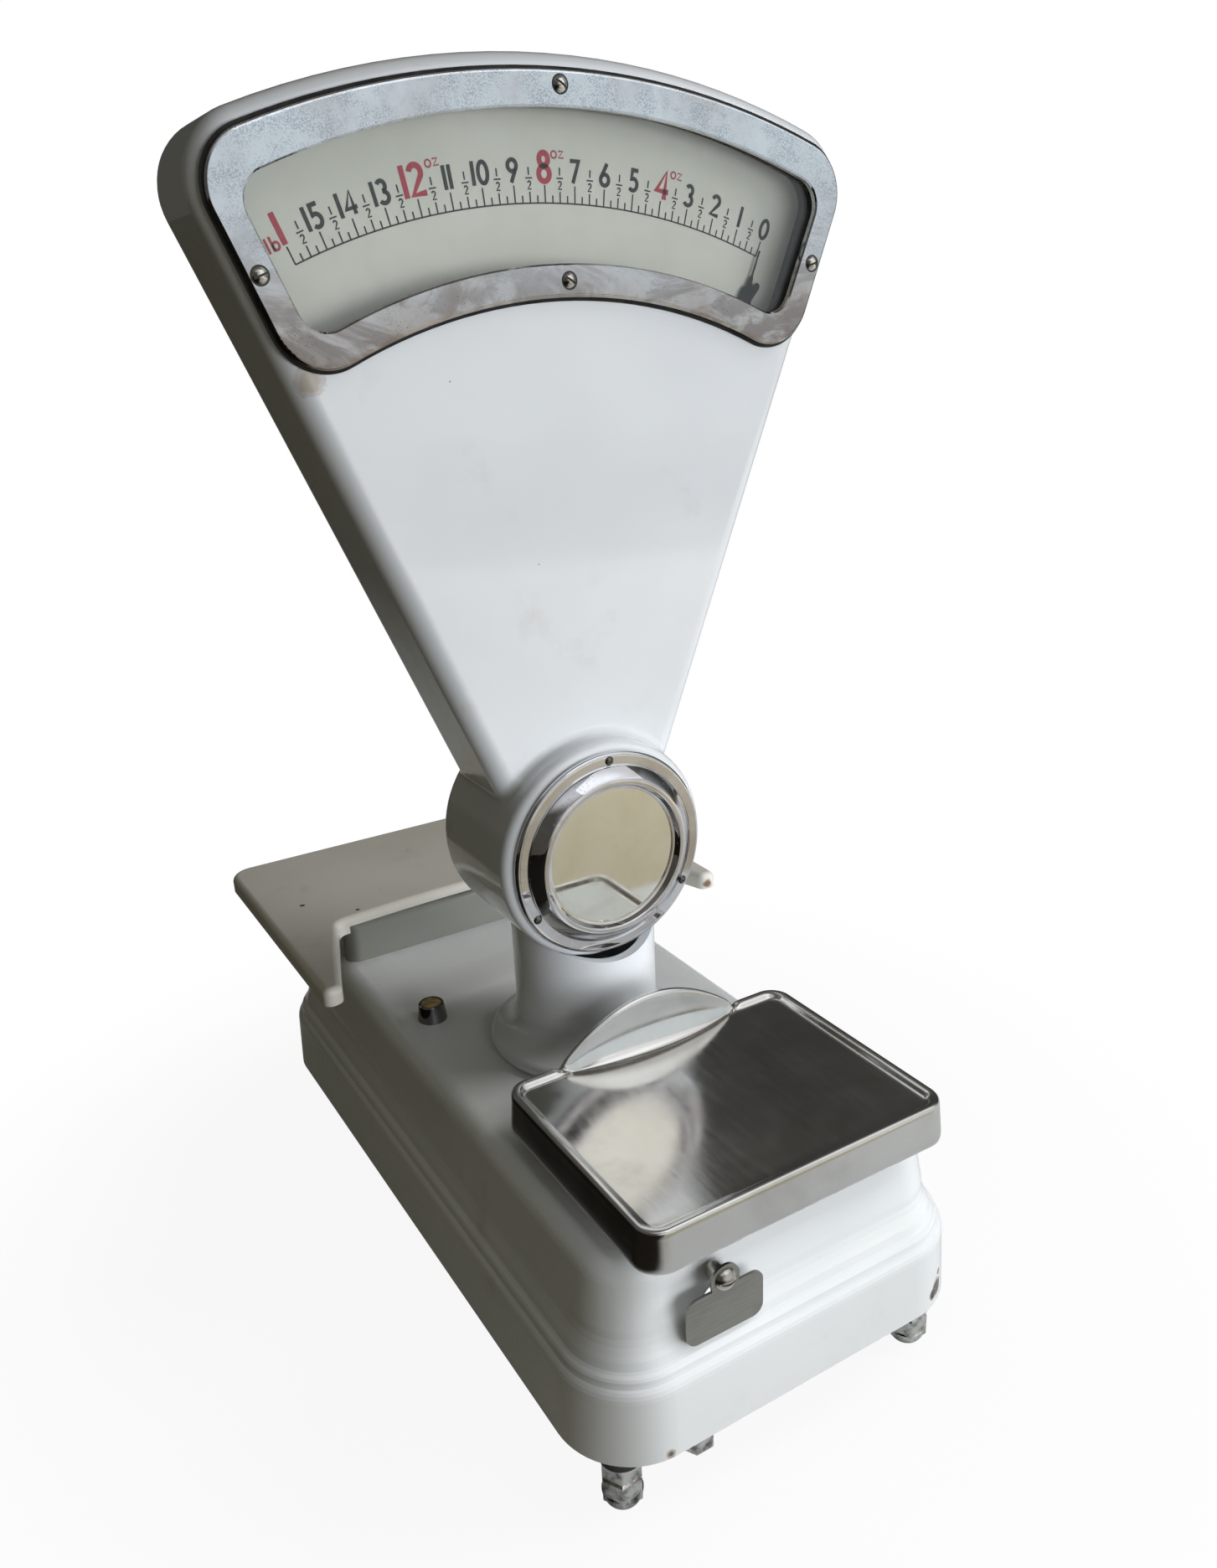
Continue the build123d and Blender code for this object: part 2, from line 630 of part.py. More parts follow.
def head_outer():
    fan = head_form(0.0, HEAD_FACE, HEAD_REAR)
    fan = fillet(fan.faces().sort_by(Axis.Y)[0].edges()
                 + fan.faces().sort_by(Axis.Y)[-1].edges(), HEAD_EDGE)
    drum = disc_y(DRUM_RADIUS, 0, PIVOT_Z, DRUM_FRONT, HEAD_REAR + 3)
    drum = fillet(drum.edges().filter_by(GeomType.CIRCLE), 7)
    body = fan + drum
    boss_edges = [e for e in body.edges().filter_by(GeomType.CIRCLE)
                  if abs(e.center().Y - HEAD_FACE) < 0.01
                  and PIVOT_Z < e.center().Z < PIVOT_Z + DRUM_RADIUS + 1]
    return fillet(boss_edges, BOSS_BLEND)


SPLIT_Y = HEAD_REAR - 17.0  # joint between the front shell and the rear cover
WINDOW_INSET = 10.6         # bezel's outer edge to the window cut in the shell


def head_hollow():
    fan = head_form(HEAD_WALL, HEAD_FACE + HEAD_WALL, HEAD_REAR - HEAD_WALL)
    drum = disc_y(DRUM_RADIUS - HEAD_WALL, 0, PIVOT_Z, DRUM_FRONT + HEAD_WALL,
                  HEAD_REAR + 3 - HEAD_WALL)
    return fan + drum


def head_shells():
    """Front shell and rear cover, split across the depth of the head."""
    body = head_outer() - head_hollow()
    body -= extrude_y(window_face(WINDOW_INSET), DRUM_FRONT, HEAD_FACE + 20)
    body -= extrude_y(window_face(WINDOW_INSET), HEAD_REAR - 20, HEAD_REAR + 10)
    for x, z in bezel_screw_places():
        body -= disc_y(2.0, x, z, HEAD_FACE - 1, HEAD_FACE + 10)
        body -= disc_y(2.0, x, z, HEAD_REAR - 10, HEAD_REAR + 1)
    for x, z in ring_screw_places():
        body -= disc_y(1.6, x, z, DRUM_FRONT - 1, DRUM_FRONT + 8)
        body -= disc_y(1.6, x, z, HEAD_REAR - 8, HEAD_REAR + 4)
    body -= disc_y(RING_RADIUS - 12, 0, PIVOT_Z, DRUM_FRONT - 1, DRUM_FRONT + 10)
    body -= disc_y(RING_RADIUS - 12, 0, PIVOT_Z, HEAD_REAR - 6, HEAD_REAR + 10)
    body -= post(COLUMN_BORE - 4, 0, COLUMN_Y, PIVOT_Z - 90, PIVOT_Z - 20)
    front = body & block(-300, 300, -200, SPLIT_Y, 100, 800)
    rear = body & block(-300, 300, SPLIT_Y, 200, 100, 800)
    return front, rear


GLASS = 2.0
BEZEL_THICK = 3.5


def bezel(face_y, out):
    """Plated frame over the window; out is -1 towards the front and 1 towards the rear."""
    seat = face_y + out * 0.8
    front = seat + out * BEZEL_THICK
    ring = extrude_y(window_face(0.0), min(seat, front), max(seat, front))
    ring = fillet(ring.faces().sort_by(Axis.Y)[0 if out < 0 else -1].edges(), 1.6)
    ring -= extrude_y(window_face(15.5), min(seat, front) - 1, max(seat, front) + 1)
    front_face = ring.faces().sort_by(Axis.Y)[0 if out < 0 else -1]
    ring = chamfer(front_face.inner_wires()[0].edges(), 0.8)
    for x, z in bezel_screw_places():
        ring -= disc_y(2.0, x, z, min(seat, front) - 1, max(seat, front) + 1)
    return ring


def gasket(face_y, out):
    """Thin dark seal between the bezel and the enamel."""
    y0, y1 = sorted((face_y, face_y + out * 0.8))
    seal = extrude_y(window_face(-1.6), y0, y1) - extrude_y(window_face(12.0), y0 - 1, y1 + 1)
    for x, z in bezel_screw_places():
        seal -= disc_y(2.4, x, z, y0 - 1, y1 + 1)
    return seal


def glass(face_y, out):
    """Curved-edge pane held behind the bezel."""
    y0, y1 = sorted((face_y, face_y - out * GLASS))
    return extrude_y(window_face(WINDOW_INSET + 0.2), y0, y1)


def bezel_screw_places():
    return [(0, 682.6), (0, 596.0), (-156.0, 601.4), (156.0, 601.4)]


def bezel_screws():
    """Four screws in front and four behind, each separate."""
    screws = []
    for x, z in bezel_screw_places():
        screw = slotted_screw(3.8, 2.2, 1.95, 8)
        tilt = 35 if x == 0 else -20
        front = at(x, HEAD_FACE - 0.8 - BEZEL_THICK, z) * (Rotation(0, tilt, 0) * screw)
        rear_y = HEAD_REAR + 0.8 + BEZEL_THICK
        rear = at(x, rear_y, z) * (Rotation(0, tilt, 180) * screw)
        screws += [front, rear]
    return group(screws)


def chart_plate(y, out):
    """Chart behind the glass; its printed face looks out."""
    y0, y1 = sorted((y, y - out * 1.5))
    return extrude_y(window_face(5.2), y0, y1)


def chart_bracket():
    """Spacer bars that hold the two charts apart and to the shell."""
    bars = []
    for x in (-120.0, 120.0):
        z = PIVOT_Z + sqrt(CHART_RADIUS**2 - x**2) - 12
        bars.append(disc_y(4, x * 1.08, z + 62, CHART_FRONT_Y + 1.5, CHART_REAR_Y - 1.5))
    bars.append(disc_y(4, 0, PIVOT_Z + CHART_RADIUS + 40, CHART_FRONT_Y + 1.5, CHART_REAR_Y - 1.5))
    return group(bars)


# ---- Drum rings, pendulum and pointers ----------------------------------------------------

def drum_ring(y, out):
    """Stepped plated ring: a flat flange with screws and a raised inner step."""
    profile = make_face(Polyline(
        (MIRROR_RADIUS + 0.1, 0), (RING_RADIUS, 0), (RING_RADIUS, 2.6), (RING_RADIUS - 1.4, 4.0),
        (RING_RADIUS - 7.8, 4.0), (RING_RADIUS - 8.0, 4.8), (RING_RADIUS - 13.2, 9.4),
        (RING_RADIUS - 14.6, 10.2), (RING_RADIUS - 17.2, 10.2), (RING_RADIUS - 18.0, 9.6),
        (MIRROR_RADIUS + 0.4, 7.0), (MIRROR_RADIUS - 1.2, 6.8), (MIRROR_RADIUS - 1.2, 5.8),
        (MIRROR_RADIUS + 0.1, 5.8),
        close=True))
    ring = revolve(Plane.XZ * profile, Axis.Z)
    turn = Rotation(90, 0, 0) if out < 0 else Rotation(-90, 0, 0)
    ring = at(0, y, PIVOT_Z) * (turn * ring)
    for x, z in ring_screw_places():
        ring -= disc_y(1.6, x, z, y - 12, y + 12)
    return ring


def mirror(y, out):
    y0, y1 = sorted((y + out * 2.8, y + out * 5.8))
    return disc_y(MIRROR_RADIUS - 0.1, 0, PIVOT_Z, y0, y1)


RING_SCREW_RADIUS = 57.0


def ring_screw_places():
    return [(RING_SCREW_RADIUS * cos(radians(a)), PIVOT_Z + RING_SCREW_RADIUS * sin(radians(a)))
            for a in (88.7, 208.7, 328.7)]


def ring_screws():
    screws = []
    for x, z in ring_screw_places():
        screw = slotted_screw(2.7, 1.6, 1.55, 6)
        screws.append(at(x, DRUM_FRONT - 4.0, z) * screw)
        screws.append(at(x, HEAD_REAR + 3 + 4.0, z) * (Rotation(0, 0, 180) * screw))
    return group(screws)


SHAFT_RADIUS = 3.0
SHAFT_Y0 = HEAD_FACE - 6.0
SHAFT_Y1 = HEAD_REAR - 2.0
REST_ANGLE = CHART_HALF_ANGLE


def bearing_bridges():
    """Two cross bars in the drum that carry the pendulum bearings."""
    bars = []
    for y in (SHAFT_Y0 + 2, SHAFT_Y1 - 8):
        bar = block(-DRUM_RADIUS + HEAD_WALL + 0.2, DRUM_RADIUS - HEAD_WALL - 0.2, y, y + 5,
                    PIVOT_Z - 8, PIVOT_Z + 8)
        bar &= disc_y(DRUM_RADIUS - HEAD_WALL, 0, PIVOT_Z, y, y + 5)
        bars.append(bar - disc_y(7.0, 0, PIVOT_Z, y - 1, y + 6))
    return group(bars)


def shaft_bearings():
    races = []
    for y in (SHAFT_Y0 + 2, SHAFT_Y1 - 8):
        race = disc_y(7.0, 0, PIVOT_Z, y, y + 5)
        races.append(race - disc_y(SHAFT_RADIUS + FIT, 0, PIVOT_Z, y - 1, y + 6))
    return group(races)


# The rod's rise over the beam's travel turns the crank through the whole chart
CRANK_RADIUS = abs(ROD_Y) * sin(radians(BEAM_TRAVEL)) / (2 * sin(radians(CHART_HALF_ANGLE)))
CRANK_X = CRANK_RADIUS * cos(radians(CHART_HALF_ANGLE))
CRANK_Z = PIVOT_Z - CRANK_RADIUS * sin(radians(CHART_HALF_ANGLE))
CRANK_PIN = 1.2


def pendulum_shaft():
    """Shaft with a small crank on its front end, lifted by the pointer rod."""
    shaft = disc_y(SHAFT_RADIUS, 0, PIVOT_Z, SHAFT_Y0, SHAFT_Y1)
    web = disc_y(6.0, 0, PIVOT_Z, SHAFT_Y0 - 2, SHAFT_Y0)
    pin = disc_y(CRANK_PIN, CRANK_X, CRANK_Z, ROD_Y - 2, SHAFT_Y0 - 2)
    return shaft + web + pin


def turned(shape):
    """Turn a piece made upright to the pointer's rest angle, towards +X."""
    return at(0, 0, PIVOT_Z) * (Rotation(0, REST_ANGLE, 0) * (at(0, 0, -PIVOT_Z) * shape))


POINTER_THICK = 0.8
POINTER_GAP = 1.6           # pointer's back to the face of the chart


def pointer(y):
    """Tapered arm with a forked balance plate and a fine needle that reaches the scale."""
    reach = CHART_RADIUS + 3.0
    fork = CHART_RADIUS - 25.0
    face = Circle(9) + Polygon(
        (-5, 0), (5, 0), (3.4, fork - 26), (4.3, fork - 14), (4.3, fork + 2), (7.0, fork + 9.4),
        (6.6, fork + 11.4), (4.6, fork + 12), (1.5, fork + 8.5), (1.0, fork + 13),
        (0.45, fork + 14), (0.3, reach), (-0.3, reach), (-0.45, fork + 14), (-1.0, fork + 13.5),
        (-1.6, fork + 8), (-3.7, fork + 6.5), (-4.3, fork), (-4.3, fork - 14), (-3.4, fork - 26),
        align=None)
    plate = extrude_y(Pos(0, PIVOT_Z) * face, y, y + POINTER_THICK)
    plate -= disc_y(SHAFT_RADIUS, 0, PIVOT_Z, y - 1, y + POINTER_THICK + 1)
    return turned(plate)


def pendulum_weight():
    """Pendulum arm and bob, set off to the side so that its lever arm grows with the swing."""
    y0 = HEAD_MID + 6
    arm = extrude_y(Pos(0, PIVOT_Z) * Polygon((-4, 0), (4, 0), (4, -44), (-4, -44), align=None),
                    y0, y0 + 5)
    bob = disc_y(13, 0, PIVOT_Z - 42, y0 - 5, y0 + 10)
    hub = disc_y(8, 0, PIVOT_Z, y0, y0 + 5)
    body = arm + bob + hub - disc_y(SHAFT_RADIUS, 0, PIVOT_Z, y0 - 6, y0 + 11)
    return turned(body)


def pointer_rod():
    """Rod up the column from the beam's cross pin to the crank on the shaft."""
    rod = post(1.0, CRANK_X, ROD_Y, BEAM_Z + 4.5, CRANK_Z - 2.5)
    eye = rod_x(6.0, ROD_Y, BEAM_Z, CRANK_X - 1.6, CRANK_X + 1.6)
    head = disc_y(4.0, CRANK_X, CRANK_Z, ROD_Y - 1.2, ROD_Y + 1.2)
    rod = rod + eye + head
    rod -= rod_x(2.5 + 0.35, ROD_Y, BEAM_Z, CRANK_X - 3, CRANK_X + 3)
    return rod - disc_y(CRANK_PIN + 0.5, CRANK_X, CRANK_Z, ROD_Y - 3, ROD_Y + 3)


# ---- Dashpot ------------------------------------------------------------------------------

DASHPOT_Y = 112.0
DASHPOT_X = 52.0


def dashpot_cylinder():
    top = FRAME_Z + FRAME_THICK
    cup = post(17, DASHPOT_X, DASHPOT_Y, top + 3, top + 41)
    cup -= post(14.5, DASHPOT_X, DASHPOT_Y, top + 6, top + 42)
    return cup


def dashpot_bracket():
    """Bar across the frame that carries the dashpot."""
    top = FRAME_Z + FRAME_THICK
    return block(-110, 110, DASHPOT_Y - 14, DASHPOT_Y + 14, top, top + 3)


def dashpot_piston():
    top = FRAME_Z + FRAME_THICK
    disc = post(14.5 - 0.4, DASHPOT_X, DASHPOT_Y, top + 22, top + 26)
    rod = post(2.0, DASHPOT_X, DASHPOT_Y, top + 25, BEAM_Z + 6)
    return disc + rod


def dashpot_arm():
    """Arm of the beam that drives the dashpot rod through a slotted eye."""
    arm = block(BEAM_X + BEAM_PLATE / 2, DASHPOT_X + 7, DASHPOT_Y - 5, DASHPOT_Y + 5,
                BEAM_Z - 2, BEAM_Z + 2)
    return arm - post(2.0 + GAP + 0.4, DASHPOT_X, DASHPOT_Y, BEAM_Z - 5, BEAM_Z + 5)


# ---- Level and adjuster cover --------------------------------------------------------------

def level_case():
    cup = at(LEVEL_X, LEVEL_Y, BASE_TOP) * Cone(LEVEL_RADIUS, LEVEL_RADIUS - 1.4, LEVEL_HEIGHT,
                                                align=(Align.CENTER, Align.CENTER, Align.MIN))
    cup = chamfer(cup.edges().sort_by(Axis.Z)[-1], 0.7)
    cup -= post(LEVEL_RADIUS - 3.0, LEVEL_X, LEVEL_Y, BASE_TOP + 4, BASE_TOP + LEVEL_HEIGHT + 1)
    return cup + post(LEVEL_STEM - FIT, LEVEL_X, LEVEL_Y, BASE_TOP - 12, BASE_TOP)


def level_vial():
    z1 = BASE_TOP + LEVEL_HEIGHT - 0.6
    body = post(LEVEL_RADIUS - 3.0, LEVEL_X, LEVEL_Y, BASE_TOP + 4, z1)
    dome_radius = 22.0
    rim = LEVEL_RADIUS - 3.0
    dome = at(LEVEL_X, LEVEL_Y, z1 + 0.8 - dome_radius) * Sphere(dome_radius)
    cap = dome & post(rim, LEVEL_X, LEVEL_Y, z1 - 2, z1 + 2)
    return body + cap


COVER_THICK = 1.5
COVER_STANDOFF = 9.6


def adjuster_cover():
    """Plate with an ear that hangs on one screw over the adjusting hole."""
    y1 = COVER_WALL_Y - COVER_STANDOFF
    centre_z = (COVER_BODY_TOP + COVER_BODY_BOTTOM) / 2
    body = Pos(COVER_X, centre_z) * RectangleRounded(
        COVER_WIDTH, COVER_BODY_TOP - COVER_BODY_BOTTOM, 6.5)
    ear = Pos(COVER_X, COVER_Z) * Circle(8.6)
    neck = Pos(COVER_X, (COVER_Z + COVER_BODY_TOP) / 2 - 3) * Rectangle(16, 14)
    plate = extrude_y(body + ear + neck, y1 - COVER_THICK, y1)
    return plate - disc_y(COVER_SCREW_SHANK + FIT, COVER_X, COVER_Z, y1 - 5, y1 + 5)


def cover_screw():
    screw = slotted_screw(6.4, 4.2, COVER_SCREW_SHANK - 0.02, COVER_STANDOFF + COVER_THICK + 10)
    return at(COVER_X, COVER_WALL_Y - COVER_STANDOFF - COVER_THICK - 0.1, COVER_Z) * screw


def cover_spacer():
    y1 = COVER_WALL_Y
    ring = disc_y(5.0, COVER_X, COVER_Z, y1 - COVER_STANDOFF + 0.1, y1 - 1.0)
    return ring - disc_y(COVER_SCREW_SHANK, COVER_X, COVER_Z, y1 - COVER_STANDOFF - 1, y1 + 2)


# ---- Write every node ----------------------------------------------------------------------

def main():
    front, rear = head_shells()
    nodes = {
        "base_casing": base_casing(), "rear_shroud": rear_shroud(), "frame_side_rails": frame_side_rails(),
        "frame_cross_bars": frame_cross_bars(),
        "frame_bolt": frame_bolt(), "fulcrum_stand": fulcrum_stand(),
        "fulcrum_bearings": fulcrum_bearings(), "column": column(), "head_front_shell": front,
        "head_rear_cover": rear, "front_bezel": bezel(HEAD_FACE, -1),
        "rear_bezel": bezel(HEAD_REAR, 1), "front_gasket": gasket(HEAD_FACE, -1),
        "rear_gasket": gasket(HEAD_REAR, 1), "front_glass": glass(HEAD_FACE, -1),
        "rear_glass": glass(HEAD_REAR, 1), "bezel_screws": bezel_screws(),
        "chart_front": chart_plate(CHART_FRONT_Y, -1), "chart_rear": chart_plate(CHART_REAR_Y, 1),
        "chart_spacers": chart_bracket(), "drum_ring_front": drum_ring(DRUM_FRONT, -1),
        "drum_ring_rear": drum_ring(HEAD_REAR + 3, 1), "drum_mirror": mirror(DRUM_FRONT, -1),
        "drum_rear_disc": mirror(HEAD_REAR + 3, 1), "ring_screws": ring_screws(),
        "bearing_bridges": bearing_bridges(), "shaft_bearings": shaft_bearings(),
        "pendulum_shaft": pendulum_shaft(), "pendulum_weight": pendulum_weight(),
        "pointer_front": pointer(CHART_FRONT_Y - POINTER_GAP - POINTER_THICK),
        "pointer_rear": pointer(CHART_REAR_Y + POINTER_GAP), "pointer_rod": pointer_rod(),
        "main_beam": main_beam(), "beam_knives": beam_knives(), "rod_pin": rod_pin(),
        "balance_weight": balance_weight(), "dashpot_arm": dashpot_arm(),
        "check_beam": check_beam(), "weights_carrier": weights_carrier(),
        "weights_bearing": carrier_bearing(-BEAM_ARM, WEIGHTS_STEM_X),
        "weights_studs": weights_studs(), "weights_pan": weights_pan(),
        "goods_carrier": goods_carrier(), "goods_bearing": carrier_bearing(BEAM_ARM, GOODS_STEM_X),
        "goods_pads": goods_pads(), "goods_plate": goods_plate(),
        "dashpot_cylinder": dashpot_cylinder(), "dashpot_bracket": dashpot_bracket(),
        "dashpot_piston": dashpot_piston(), "level_case": level_case(),
        "level_vial": level_vial(), "adjuster_cover": adjuster_cover(),
        "cover_screw": cover_screw(), "cover_spacer": cover_spacer(),
        "foot_locknuts": group([foot_locknut(x, y) for x, y in FOOT_PLACES.values()]),
    }
    for place, (x, y) in FOOT_PLACES.items():
        nodes[f"foot_{place}"] = foot(x, y)
    for node, shape in nodes.items():
        save(shape, node)
    print(len(nodes), "nodes written")


main()
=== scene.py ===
import math

import bmesh
import bpy
from mathutils import Matrix, Vector


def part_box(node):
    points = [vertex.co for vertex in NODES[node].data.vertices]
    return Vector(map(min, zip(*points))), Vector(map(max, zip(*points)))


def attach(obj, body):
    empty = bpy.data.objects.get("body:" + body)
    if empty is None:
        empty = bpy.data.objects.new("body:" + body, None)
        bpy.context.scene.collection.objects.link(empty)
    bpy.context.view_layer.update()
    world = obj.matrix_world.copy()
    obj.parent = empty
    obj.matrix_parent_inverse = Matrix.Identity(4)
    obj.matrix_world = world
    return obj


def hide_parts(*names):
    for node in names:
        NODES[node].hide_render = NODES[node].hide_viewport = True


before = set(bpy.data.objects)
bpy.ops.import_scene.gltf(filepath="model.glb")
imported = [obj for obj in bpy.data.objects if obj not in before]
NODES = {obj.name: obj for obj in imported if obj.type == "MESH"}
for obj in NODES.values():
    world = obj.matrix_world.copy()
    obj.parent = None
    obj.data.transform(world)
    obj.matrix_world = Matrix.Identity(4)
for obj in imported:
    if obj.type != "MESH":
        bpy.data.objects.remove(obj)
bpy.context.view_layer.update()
MM = 0.001

# ---- Camera ---------------------------------------------------------------------------------

CAMERA_PLACE = (-0.32986, -0.63343, 0.57794)
CAMERA_RIGHT = (0.8537664, -0.5190148, -0.0413107)
CAMERA_UP = (0.2168295, 0.2822980, 0.9345014)
CAMERA_AHEAD = (0.4733581, 0.8068032, -0.3535543)

camera = bpy.data.objects.new("camera", bpy.data.cameras.new("camera"))
bpy.context.scene.collection.objects.link(camera)
axes = Matrix((CAMERA_RIGHT, CAMERA_UP, [-v for v in CAMERA_AHEAD])).transposed().to_4x4()
camera.matrix_world = Matrix.Translation(CAMERA_PLACE) @ axes
camera.data.sensor_width = 36.0
camera.data.lens = 28.3128
camera.data.clip_start = 0.01
bpy.context.scene.camera = camera


# ---- Shader helpers -------------------------------------------------------------------------

def tone(code):
    """Linear colour of an sRGB hex code."""
    parts = [int(code[i:i + 2], 16) / 255 for i in (0, 2, 4)]
    return tuple(c / 12.92 if c <= 0.04045 else ((c + 0.055) / 1.055)**2.4 for c in parts) + (1.0,)


class Shader:
    """One material's node tree, with short calls for the nodes that it uses."""

    def __init__(self, name):
        self.material = bpy.data.materials.new(name)
        self.material.use_nodes = True
        self.tree = self.material.node_tree
        self.body = self.tree.nodes["Principled BSDF"]
        self.place = self.node("ShaderNodeTexCoord").outputs["Object"]

    def node(self, kind, **values):
        made = self.tree.nodes.new(kind)
        for key, value in values.items():
            setattr(made, key, value)
        return made

    def link(self, source, target):
        self.tree.links.new(source, target)

    def feed(self, socket, value):
        if hasattr(value, "is_output"):
            self.link(value, socket)
        else:
            socket.default_value = value

    def stretch(self, scale):
        made = self.node("ShaderNodeMapping")
        made.inputs["Scale"].default_value = scale
        self.link(self.place, made.inputs["Vector"])
        return made.outputs["Vector"]

    def noise(self, scale, detail=3.0, rough=0.55, place=None, warp=0.0):
        made = self.node("ShaderNodeTexNoise")
        made.inputs["Scale"].default_value = scale
        made.inputs["Detail"].default_value = detail
        made.inputs["Roughness"].default_value = rough
        made.inputs["Distortion"].default_value = warp
        self.link(place or self.place, made.inputs["Vector"])
        return made.outputs["Fac"]

    def cells(self, scale):
        made = self.node("ShaderNodeTexVoronoi")
        made.inputs["Scale"].default_value = scale
        self.link(self.place, made.inputs["Vector"])
        return made.outputs["Distance"]

    def span(self, value, low, high, to_low=0.0, to_high=1.0):
        made = self.node("ShaderNodeMapRange")
        made.interpolation_type = "SMOOTHSTEP"
        self.feed(made.inputs["Value"], value)
        for key, number in (("From Min", low), ("From Max", high), ("To Min", to_low),
                            ("To Max", to_high)):
            made.inputs[key].default_value = number
        return made.outputs["Result"]

    def sum(self, kind, a, b):
        made = self.node("ShaderNodeMath", operation=kind)
        self.feed(made.inputs[0], a)
        self.feed(made.inputs[1], b)
        return made.outputs[0]

    def blend(self, share, a, b):
        made = self.node("ShaderNodeMix", data_type="RGBA")
        self.feed(made.inputs["Factor"], share)
        self.feed(made.inputs["A"], a)
        self.feed(made.inputs["B"], b)
        return made.outputs["Result"]

    def near(self, point, radius):
        """1 within radius of a point, fading out, with a ragged edge."""
        made = self.node("ShaderNodeVectorMath", operation="DISTANCE")
        self.link(self.place, made.inputs[0])
        made.inputs[1].default_value = point
        wobble = self.sum("MULTIPLY", self.sum("SUBTRACT", self.noise(220.0, 4.0), 0.5),
                          radius * 0.8)
        return self.span(self.sum("ADD", made.outputs["Value"], wobble), radius, radius * 0.8)

    def axis(self, letter):
        made = self.node("ShaderNodeSeparateXYZ")
        self.link(self.place, made.inputs[0])
        return made.outputs[letter]

    def bump(self, height, strength, distance):
        made = self.node("ShaderNodeBump")
        made.inputs["Strength"].default_value = strength
        made.inputs["Distance"].default_value = distance
        self.link(height, made.inputs["Height"])
        self.link(made.outputs["Normal"], self.body.inputs["Normal"])

    def set(self, **values):
        names = {"color": "Base Color", "rough": "Roughness", "metal": "Metallic",
                 "coat": "Coat Weight", "coat_rough": "Coat Roughness", "ior": "IOR",
                 "clear": "Transmission Weight", "spec": "Specular IOR Level"}
        for key, value in values.items():
            self.feed(self.body.inputs[names[key]], value)
        return self


# ---- Materials ------------------------------------------------------------------------------

def enamel(name, pale, deep, marks, grime=0.3):
    """Stove enamel with slight colour drift, a thin film of grime, specks, and chips.

    Each mark is a chip: its place in metres, its radius, its inner colour and its strength.
    """
    s = Shader(name)
    drift = s.noise(5.0, 3.0)
    color = s.blend(s.span(drift, 0.35, 0.68), tone(pale), tone(deep))
    film = s.sum("MULTIPLY", s.span(s.noise(16.0, 5.0, 0.65), 0.55, 0.80), grime)
    color = s.blend(film, color, tone("A69F90"))
    specks = s.span(s.cells(95.0), 0.055, 0.03)
    few = s.span(s.noise(30.0, 2.0), 0.60, 0.64)
    specks = s.sum("MULTIPLY", specks, few)
    color = s.blend(s.sum("MULTIPLY", specks, 0.75), color, tone("4A3D31"))
    rough = s.span(s.noise(40.0, 4.0), 0.3, 0.8, 0.10, 0.20)
    for point, radius, inner, strength in marks:
        halo = s.sum("MULTIPLY", s.near(point, radius * 1.35), strength * 0.7)
        color = s.blend(halo, color, tone("8A6A45"))
        color = s.blend(s.sum("MULTIPLY", s.near(point, radius), strength), color, tone(inner))
    s.bump(s.sum("ADD", s.sum("MULTIPLY", s.noise(26.0, 2.0), 1.0),
                 s.sum("MULTIPLY", specks, -0.4)), 0.10, 0.002)
    return s.set(color=color, rough=rough, coat=0.35, coat_rough=0.06, ior=1.5).material


def plating(name, bright="C9CDD0", dull="9C958B", pits=0.5, rough=(0.06, 0.2), reflection_z=None,
            ripple=0.0, frost=0.0, patch=24.0):
    """Worn nickel or chrome plating: fine pits, tarnish in patches, slight ripple.

    Below a span of heights, if given, the colour grows darker and browner: painted reflection over the
    tarnish; frost then adds pale grains above it and brown mottles below it, painted reflection too.
    Patches with a near-black dull colour, as on the feet, are painted reflections rather than tarnish.
    """
    s = Shader(name)
    patches = s.span(s.noise(patch, 5.0, 0.62), 0.42, 0.70)
    # Painted reflection: darker and browner below a span of heights
    if reflection_z is not None:
        low = s.span(s.axis("Z"), reflection_z[0], reflection_z[1], 1.0, 0.0)
        patches = s.sum("MINIMUM", s.sum("ADD", s.sum("MULTIPLY", patches, 0.35),
                                         s.sum("MULTIPLY", low, 0.75)), 1.0)
    color = s.blend(s.sum("MULTIPLY", patches, 0.8), tone(bright), tone(dull))
    if frost:
        grains = s.sum("MULTIPLY", s.span(s.noise(1300.0, 2.0, 0.6), 0.44, 0.58),
                       s.span(s.noise(70.0, 5.0, 0.65), 0.36, 0.62))
        high = s.span(s.axis("Z"), reflection_z[0] + 0.02, reflection_z[1] - 0.01)
        color = s.blend(s.sum("MULTIPLY", s.sum("MULTIPLY", grains, high), frost), color,
                        tone("8C96A2"))
        # Brown mottles low down: painted reflection
        brown_reflections = s.span(s.noise(17.0, 5.0, 0.65, place=s.stretch((1.0, 1.0, 2.2)), warp=1.2), 0.46, 0.60)
        color = s.blend(s.sum("MULTIPLY", s.sum("MULTIPLY", brown_reflections, low), 0.62), color,
                        tone("5C493D"))
    pit = s.sum("MULTIPLY", s.span(s.cells(700.0), 0.26, 0.12),
                s.span(s.noise(55.0, 4.0, 0.6), 0.50, 0.66))
    color = s.blend(s.sum("MULTIPLY", pit, pits), color, tone("5A4A3C"))
    roughness = s.span(s.sum("ADD", s.noise(70.0, 5.0, 0.65), s.sum("MULTIPLY", pit, 0.3)),
                       0.35, 0.85, *rough)
    waves = s.sum("ADD", s.sum("MULTIPLY", s.noise(140.0, 3.0), 0.25),
                  s.sum("MULTIPLY", s.noise(22.0, 2.0), ripple))
    s.bump(s.sum("SUBTRACT", waves, pit), 0.25, 0.0004)
    return s.set(color=color, metal=1.0, rough=roughness).material


